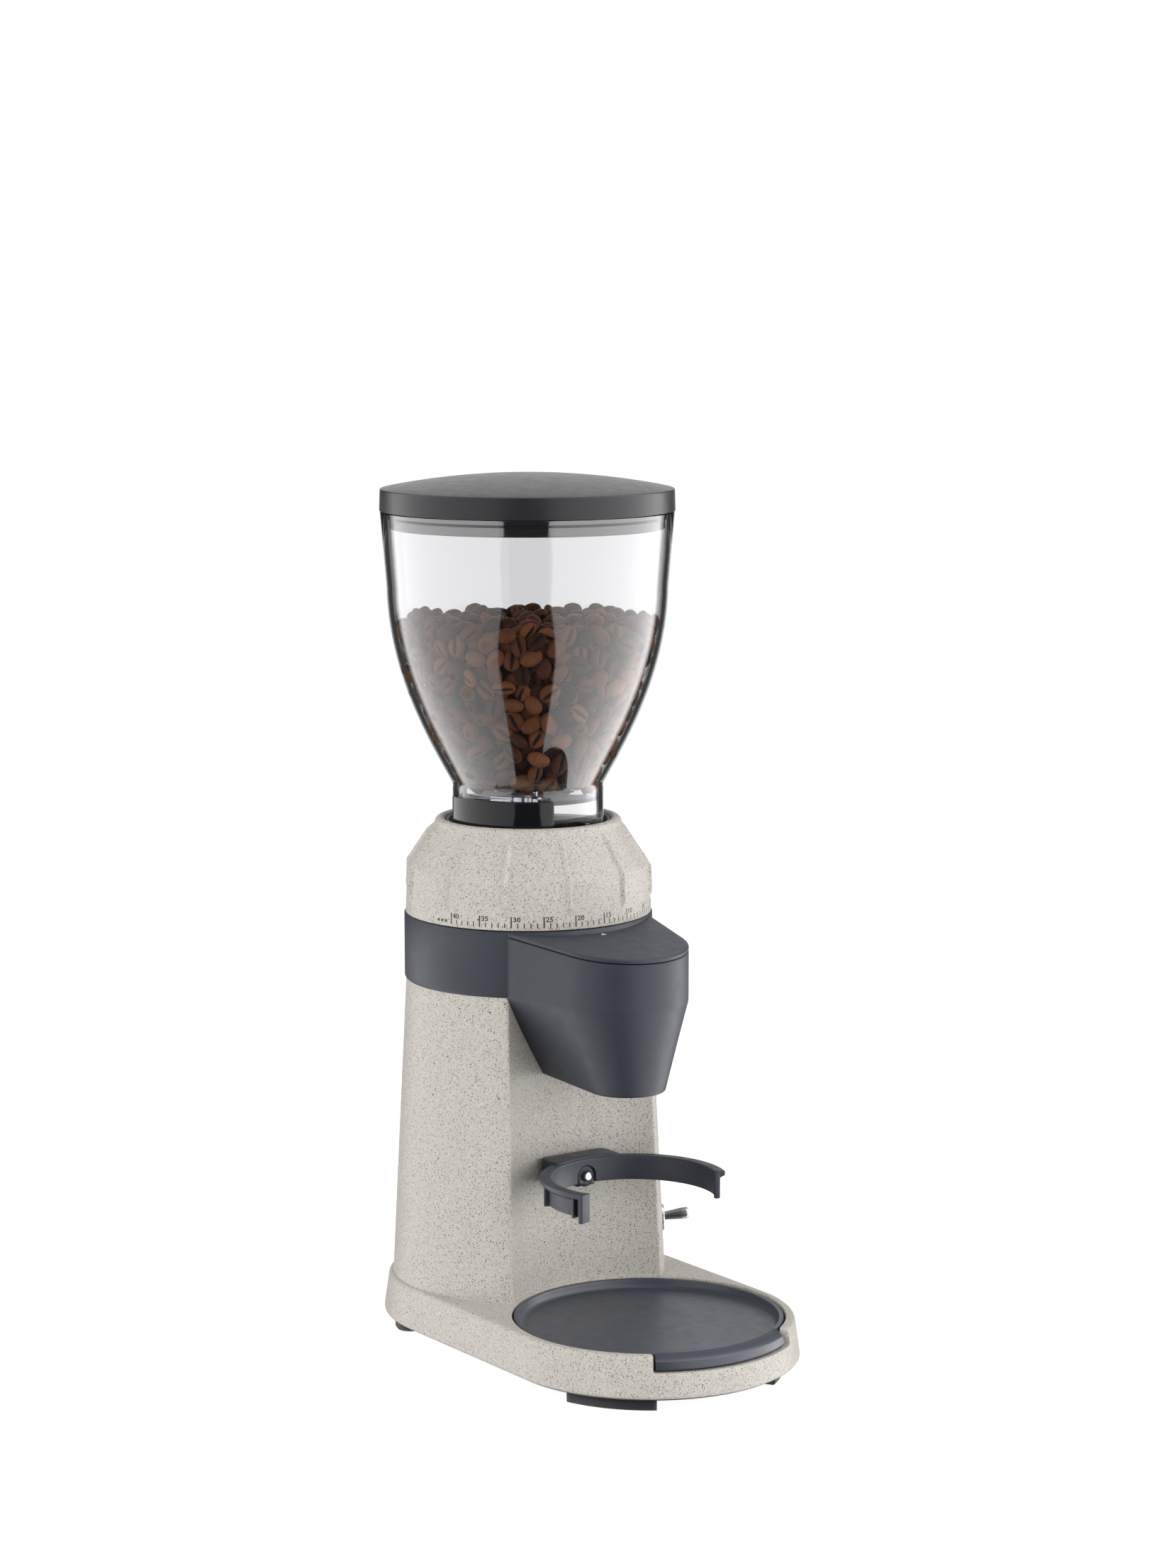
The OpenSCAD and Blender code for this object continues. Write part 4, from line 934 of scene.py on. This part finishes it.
def spout_row(inset, z):
    """The spout's outline at a height: it spreads from the foot to the crease and is straight above that."""
    t = min(1.0, (z - SPOUT_LOW) / (COLLAR_LOW - SPOUT_LOW))
    pairs = zip(spout_outline(SPOUT_LOWER, inset), spout_outline(SPOUT_UPPER, inset))
    return [(*(a + (b - a) * t for a, b in zip(low, high)), z) for low, high in pairs]


def slope_z(y, lift):
    return SPOUT_RIM + lift + (y - SPOUT_UPPER[3]) * math.tan(math.radians(SPOUT_SLOPE))


def slope_row(inset, lift):
    """The spout's outline on its sloping top, raised by lift."""
    return [(x, y, slope_z(y, lift)) for x, y in spout_outline(SPOUT_UPPER, inset)]


def make_spout():
    crease = COLLAR_LOW
    foot = ((0.8, 0), (0.35, 0.1), (0.1, 0.35), (0, 0.8))                      # inset, height above the foot
    sides = [(0, z) for z in (126, 130, 136, 142, 148, 154, 158.5, 161)]
    fold = [(0, crease - 0.9), (0.03, crease - 0.3), (0.03, crease + 0.3), (0, crease + 0.9), (0, crease + 2)]
    rim = ((0, -3.0), (0, -0.9), (0.12, -0.45), (0.4, -0.2), (0.8, -0.15), (SPOUT_WALL, -0.2))
    inside = [(SPOUT_WALL, z) for z in (170, crease, 154, 142, 130, SPOUT_LOW + 0.2)]
    rows = [spout_row(inset, SPOUT_LOW + rise) for inset, rise in foot]
    rows += [spout_row(*level) for level in sides + fold + [(0, 170)]]
    rows += [slope_row(*level) for level in rim] + [spout_row(*level) for level in inside]
    shell = Solids().sweep(list(zip(*rows)), around=False)
    new_piece("spout_shell", shell, "anthracite_plastic", "housing", "spout_body", 28)
    make_cover()


def make_cover():
    """The plate on the spout's slope, with rounded edges, ending in a hollow edge against the collar."""
    collar_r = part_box("collar")[1][0] / MM - 0.1
    low_edge = [(0.9, 0.12), (0.35, 0.2), (0.05, 0.45), (0, 0.75)]                 # inset, lift
    high_edge = [(0, 1.3), (0.1, 1.65), (0.35, 1.88), (0.75, 1.98), (1.3, 2.0)]
    rows = []
    for inset, lift in low_edge + high_edge:
        end_turn = math.degrees(math.asin((SPOUT_UPPER[2] - inset) / collar_r))
        hollow = [polar(end_turn - 2 * end_turn * k / 40, collar_r, 0, COLUMN_Y) for k in range(41)]
        front = [p for p in slope_row(inset, lift) if p[1] < SPOUT_UPPER[3] - 1.0]
        rows.append(front + [(x, y, slope_z(y, lift)) for x, y, _ in hollow])
    plate = Solids().sweep(list(zip(*rows)), along=False)
    new_piece("spout_lid", plate, "anthracite_plastic", "housing", "spout_cover", 28)
    tip = COLUMN_Y - collar_r - 1.0
    corners = ((-1.3, tip - 2.6), (1.3, tip - 2.6), (0, tip))
    pointer = Solids().prism(*([(x, y, slope_z(y, lift)) for x, y in corners] for lift in (1.9, 2.04)))
    new_piece("setting_pointer", pointer, "gear_plastic", "housing")


# ---- Fork, start button and toggle ----

FORK_Y = TRAY_Y + 11.3
FORK_R, FORK_LOW, FORK_TOP, FORK_GAP = 36.4, 74.6, 85.5, 68
BUTTON_Z = 77.7


def make_fork():
    section = rounded([(FORK_R + 1.1, FORK_LOW), (FORK_R + 2.2, FORK_LOW), (FORK_R + 2.2, FORK_TOP - 3.6, 1.6),
                       (FORK_R + 5.1, FORK_TOP - 2.1, 0.5), (FORK_R + 5.1, FORK_TOP, 0.6),
                       (FORK_R, FORK_TOP, 0.9), (FORK_R, FORK_LOW, 0.4), (FORK_R + 1.05, FORK_LOW)], 0.4, 4)
    turns = [FORK_GAP + (360 - 2 * FORK_GAP) * k / 112 for k in range(113)]
    sections = [[polar(turn, r, z, FORK_Y) for r, z in section] for turn in turns]
    fork = new_piece("fork_ring", Solids().sweep(sections, around=False), "anthracite_plastic",
                     "portafilter_fork", "fork", 30)
    saddle = fork_saddle()
    arch_r, below = 5.1, 60
    outline = [(arch_r, below)] + arc(0, BUTTON_Z, arch_r, 0, 180, 10) + [(-arch_r, below)]
    for part in (saddle, fork):
        cut(part, Solids().prism(*([(x, y, z) for x, z in outline] for y in (-4, 8))), 30)
    soften(saddle, 0.45)
    ribs = loose(fork_plates())
    soften(ribs, 0.4)
    join(fork, (saddle, ribs))
    shade(fork.data, 32)


def fork_saddle():
    """The block behind the fork's ring, with slots for the bracket's rail."""
    half, front, depth, corner, gap, below = 17.5, -1.0, 13.0, 3.0, 0.3, 60
    plan = []
    for k in range(25):
        x = half * (-1 + 2 * k / 24)
        plan.append((x, max(front, FORK_Y + math.sqrt((FORK_R + 1) ** 2 - x * x))))
    plan += [(half, depth - corner), (half - 0.9, depth - 0.9), (half - corner, depth),
             (corner - half, depth), (0.9 - half, depth - 0.9), (-half, depth - corner)]
    saddle = loose(Solids().prism(*([(x, y, z) for x, y in plan] for z in (FORK_LOW, FORK_TOP + 0.7))))
    for wide, start, end in ((9, 7.3 - gap, 11 + gap), (5.5, 9, 15)):
        cut(saddle, Solids().box((-wide - gap, start, below), (wide + gap, end, FORK_TOP - 2.1)))
    return saddle


def fork_plates():
    """Plates at the ends of the fork's arms, the left one longer, and two ribs under each arm."""
    plates = Solids()
    for side, reach in ((-1, 6.4), (1, 2.8)):
        def radial(turn):
            return Matrix.Translation((0, FORK_Y, 0)) @ Matrix.Rotation(math.radians(side * turn - 90), 4, "Z")
        plates.box((FORK_R + 0.3, -1.1, FORK_LOW - 1.6), (FORK_R + reach, 1.1, FORK_TOP + 0.15), radial(FORK_GAP + 0.6))
        for turn in (76.5, 111):
            plates.box((FORK_R + 1, -0.7, FORK_LOW - 0.4), (FORK_R + 4.3, 0.7, FORK_TOP - 2), radial(turn))
    return plates


def join(piece, others):
    """Adds other objects' meshes to a piece and removes them."""
    work = bmesh.new()
    for o in (piece, *others):
        work.from_mesh(o.data)
    work.to_mesh(piece.data)
    work.free()
    for o in others:
        bpy.data.objects.remove(o)
    for face in piece.data.polygons:
        face.material_index = 0


TOGGLE_TURN, TOGGLE_Z, TOGGLE_PIVOT, TOGGLE_TILT = -30, 47.5, -4, 7


def toggle_place():
    """The toggle's own frame: its origin on the column's side and +Z straight out of it."""
    out = between(COLUMN_R, TOGGLE_Z)
    return (Matrix.Translation((0, COLUMN_Y, TOGGLE_Z)) @ Matrix.Rotation(math.radians(TOGGLE_TURN), 4, "Z")
            @ Matrix.Translation((out, 0, 0)) @ Matrix.Rotation(math.radians(90), 4, "Y"))


def make_toggle():
    tilt = Matrix.Rotation(math.radians(-TOGGLE_TILT), 4, "Y")
    place = toggle_place() @ Matrix.Translation((0, 0, TOGGLE_PIVOT)) @ tilt
    ball = [(2.9 * math.sin(math.radians(a)), -2.9 * math.cos(math.radians(a))) for a in range(0, 145, 12)]
    stem = rounded([(1.75, 2.5), (1.75, 4.0), (2.62, 13.2, 4), (2.62, 16.55, 2.2), (0, 16.55)], 1.0, 8)
    new_piece("toggle_bat", Solids().spun(ball + stem, place, 48), "satin_steel", "toggle", "toggle_lever", 40)
    section = [(3.3, -9.0), (4.9, -9.0), (5.0, -8.8), (5.0, -0.6), (6.0, -0.6), (6.2, -0.4), (6.2, 0.45), (5.85, 0.8),
               (4.9, 0.95), (4.45, 0.85), (4.25, 0.5), (3.6, -4.0), (3.3, -5.0)]
    rings = []
    for a in (2 * math.pi * k / 64 for k in range(64)):
        rings.append([toggle_place() @ Vector((r * math.cos(a), r * math.sin(a), z)) for r, z in section])
    new_piece("toggle_collar", Solids().sweep(rings), "chrome", "housing", "toggle_bush", 40)


def make_button():
    low, high = (corner[1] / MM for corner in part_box("start_button"))
    place = Matrix.Translation((0, 0, BUTTON_Z)) @ Matrix.Rotation(math.radians(-90), 4, "X")
    seat, pin_r, flange_r = low + 21.75, 1.9, 4
    line = [(0, low), (1.35, low), (1.55, low + 0.06), (pin_r, low + 0.4), (pin_r, seat), (flange_r, seat),
            (flange_r, seat + 1.4), (pin_r, seat + 1.4), (pin_r, high - 0.3), (1.6, high), (0, high)]
    new_piece("button_pin", Solids().spun(line, place), "chrome", "button", "start_button", 32)


# ---- Lid and shutter ----

def make_lid():
    rim_z, edge_r, wall, skirt = 383.3, 66.2, 2.2, 62.0
    cap_low, skirt_in = LID_LOW + 7.6, skirt - wall
    rise = LID_HIGH - rim_z
    dome = (edge_r ** 2 + rise ** 2) / 2 / rise

    def domed(radii, lift=0.0):
        return [(r, LID_HIGH - dome + lift + math.sqrt(dome ** 2 - r ** 2)) for r in radii]

    top = domed((0.01, 8, 16, 24, 32, 40, 48, 55, 61))
    edge = rounded([top[-1], (edge_r - 0.3, rim_z, 0.9), (edge_r, cap_low, 0.35), (edge_r - wall, cap_low)], 0.5, 6)
    inside = [(edge_r - wall, rim_z - 3.2), (skirt + 0.05, rim_z - 3.0), (skirt_in, rim_z - 2.4)]
    ring = [(skirt, rim_z - 2.7), (skirt, LID_LOW + 0.3), (skirt - 0.3, LID_LOW), (skirt_in + 0.3, LID_LOW),
            (skirt_in, LID_LOW + 0.3), (skirt_in, rim_z - 2.3)]
    # The skirt's darker plastic is painted shade.
    turned("lid_skirt", ring, "skirt_plastic_painted_shade", "lid", segments=192)
    outline = top + edge[1:] + inside + domed((55, 40, 24, 8, 0.01), -wall)
    turned("lid_cap", outline, "lid_plastic", "lid", "hopper_lid", 192)


SHUTTER_FROM, SHUTTER_TO = -101, -16


def make_shutter():
    """The gate's ring, disc and arm, its raised grip, and a thin track with the stop at the end of its travel."""
    inner, outer = NECK_R + 0.3, NECK_R + 1.45
    low, high = 222.9, 231.5
    ring = [(inner, low), (outer - 0.2, low), (outer, low + 0.2), (outer, high - 0.2), (outer - 0.2, high),
            (inner, high)]
    turned("shutter_ring", ring, "gloss_black_plastic", "shutter", "hopper_shutter", 144)
    gate_plate("shutter_disc", GATE_LOW - 2.0, GATE_LOW - 0.3, NECK_R - WALL - 0.4, "gloss_black_plastic", "shutter")
    disc_r = NECK_R - WALL
    arm = [(disc_r - 5.4, 245.6), (disc_r - 5.4, 238), (inner + 0.6, 238), (inner + 0.6, 242.6), (disc_r - 0.7, 242.6),
           (disc_r - 0.7, 245.6)]
    strips = [(arm, -75, -67)]
    grip = (SHUTTER_FROM, SHUTTER_TO, 246.8, 36.9)                                 # start, end, top, radius
    track = (SHUTTER_TO - 1, 17, 232.6, outer - 0.1)
    stop = (12, 16.6, 235.4, outer - 0.1)
    sole = high - 0.9
    for start, end, top, reach in (grip, track, stop):
        strips.append((rounded([(inner + 0.1, high + 0.1), (inner + 0.1, sole), (reach, sole, 0.5), (reach, top, 0.7),
                                (inner + 0.1, top, 0.3), (inner + 0.1, high + 0.2)], 0.25, 4), start, end))
    for number, (section, start, end) in enumerate(strips):
        middle_r = sum(r for r, _ in section) / len(section)
        middle_z = sum(z for _, z in section) / len(section)
        turns = [start] + [start + 0.3 + (end - start - 0.6) * k / 48 for k in range(49)] + [end]
        sections = []
        for turn in turns:
            keep = 0.93 if turn in (start, end) else 1.0
            sections.append([polar(turn, middle_r + (r - middle_r) * keep, middle_z + (z - middle_z) * keep, COLUMN_Y)
                             for r, z in section])
        solid = Solids().sweep(sections, around=False)
        new_piece(f"shutter_grip_{number + 1}", solid, "gloss_black_plastic", "shutter")


# ---- Stage, lamps and camera ----

# Radiances of the world, and the turns from the camera's back at which its dark strip ends.
AMBIENT, CEILING, BACKDROP, FLAG = 0.36, 0.45, 0.95, 0.05
SIDE_LIGHT = (3.0, 4.6)
STRIP_DARK, STRIP_EDGE = 16.5, 18.5
NO_CAP = 9.0


def make_world():
    """A white studio: reflections see two bright side screens, a dark strip behind the camera and a white backdrop."""
    world = bpy.data.worlds.new("studio")
    bpy.context.scene.world = world
    world.use_nodes = True
    w = Nodes(world.node_tree)
    w.tree.nodes.clear()
    ray = w.add("ShaderNodeLightPath").outputs
    split = w.add("ShaderNodeSeparateXYZ")
    w.feed(split.inputs[0], w.add("ShaderNodeTexCoord").outputs["Generated"])
    x, y, z = split.outputs
    back = Vector(CAMERA_AT[:2]).normalized()
    towards = w.maths("ADD", w.times(x, back.x), w.times(y, back.y))
    across = w.maths("ADD", w.times(x, -back.y), w.times(y, back.x))
    level = w.maths("SQRT", w.maths("SUBTRACT", 1.0, w.times(z, z)))
    share = w.maths("DIVIDE", towards, w.maths("MAXIMUM", level, 0.01))
    lower = w.maths("ADD", share, w.span(z, -0.5, -0.1, 0.06, 0.0))
    strip = w.span(lower, math.cos(math.radians(STRIP_EDGE)), math.cos(math.radians(STRIP_DARK)), 1.0, 0.01)
    sides = w.times(w.span(share, -0.72, -0.60), w.span(across, -0.2, 0.2, *SIDE_LIGHT))
    sides = w.times(sides, w.span(share, -0.4, 0.95, 1.25, 0.5))
    ceiling = w.span(z, 0.25, 0.6, 0.0, CEILING)
    backdrop = w.span(share, -0.975, -0.955, BACKDROP, FLAG)
    seen = w.maths("MAXIMUM", w.maths("MAXIMUM", w.times(strip, sides), ceiling), backdrop)
    most = w.maths("SUBTRACT", NO_CAP, w.times(ray["Is Transmission Ray"], NO_CAP - BACKDROP))
    seen = w.times(ray["Is Glossy Ray"], w.maths("MINIMUM", seen, most))
    ambient = w.times(ray["Is Diffuse Ray"], AMBIENT)
    strength = w.maths("MAXIMUM", seen, w.maths("MAXIMUM", ray["Is Camera Ray"], ambient))
    shader = w.add("ShaderNodeBackground")
    w.feed(shader.inputs["Color"], (1, 1, 1))
    w.feed(shader.inputs["Strength"], strength)
    w.feed(w.add("ShaderNodeOutputWorld").inputs[0], shader.outputs[0])


# Softboxes: name, turn from the front, distance, height, width, length, radiance.
LAMPS = (("softbox_left", CAMERA_TURN - 56, 1.5, 0.3, 2.2, 3.2, 1.75),
         ("softbox_right", CAMERA_TURN + 56, 1.5, 0.3, 2.2, 3.2, 2.15),
         ("softbox_top", 180, 0.4, 1.7, 1.6, 1.6, 0.4))


def make_lamp(name, turn, distance, height, wide, tall, radiance):
    """A softbox that cameras don't see, aimed at the object."""
    data = bpy.data.lights.new(name, "AREA")
    data.shape = "RECTANGLE"
    data.size, data.size_y = wide, tall
    data.energy = radiance * math.pi * wide * tall
    lamp = bpy.data.objects.new(name, data)
    bpy.context.scene.collection.objects.link(lamp)
    x, y, _ = polar(turn, distance, 0)
    lamp.location = (x, y, height)
    aimed = Vector((0, 0, 0.2)) - lamp.location
    lamp.rotation_euler = aimed.to_track_quat("-Z", "Y").to_euler()
    lamp.visible_camera = lamp.visible_glossy = lamp.visible_transmission = False


def make_stage():
    make_world()
    for lamp in LAMPS:
        make_lamp(*lamp)
    bpy.ops.mesh.primitive_circle_add(vertices=96, radius=14, fill_type="NGON", location=(0, 0, 0))
    floor = bpy.context.object
    floor.name = "floor"
    s = Surface("pale_floor", (0.35, 0.35, 0.35), 0.9, level=0.0)
    s.put("Emission Color", (1, 1, 1))
    s.put("Emission Strength", 0.92)
    s.put("Roughness", s.patches(40, 3, low=0.8, high=0.95))
    floor.data.materials.append(s.material)
    floor.visible_glossy = floor.visible_diffuse = floor.visible_transmission = False


def make_camera():
    data = bpy.data.cameras.new("camera")
    data.lens = CAMERA_LENS
    data.clip_start, data.clip_end = 0.05, 60
    camera = bpy.data.objects.new("camera", data)
    bpy.context.scene.collection.objects.link(camera)
    camera.location = CAMERA_AT
    camera.rotation_euler = (math.radians(90 - CAMERA_PITCH), 0, math.radians(CAMERA_TURN))
    bpy.context.scene.camera = camera
    bpy.context.scene.view_settings.view_transform = "Standard"


make_camera()
make_stage()
for node_name in NODES:
    finish_node(node_name)
make_column()
make_base()
make_tray()
make_spout()
make_fork()
make_toggle()
make_button()
make_lid()
make_shutter()
make_hopper()
make_beans()
make_dial()
make_scale()
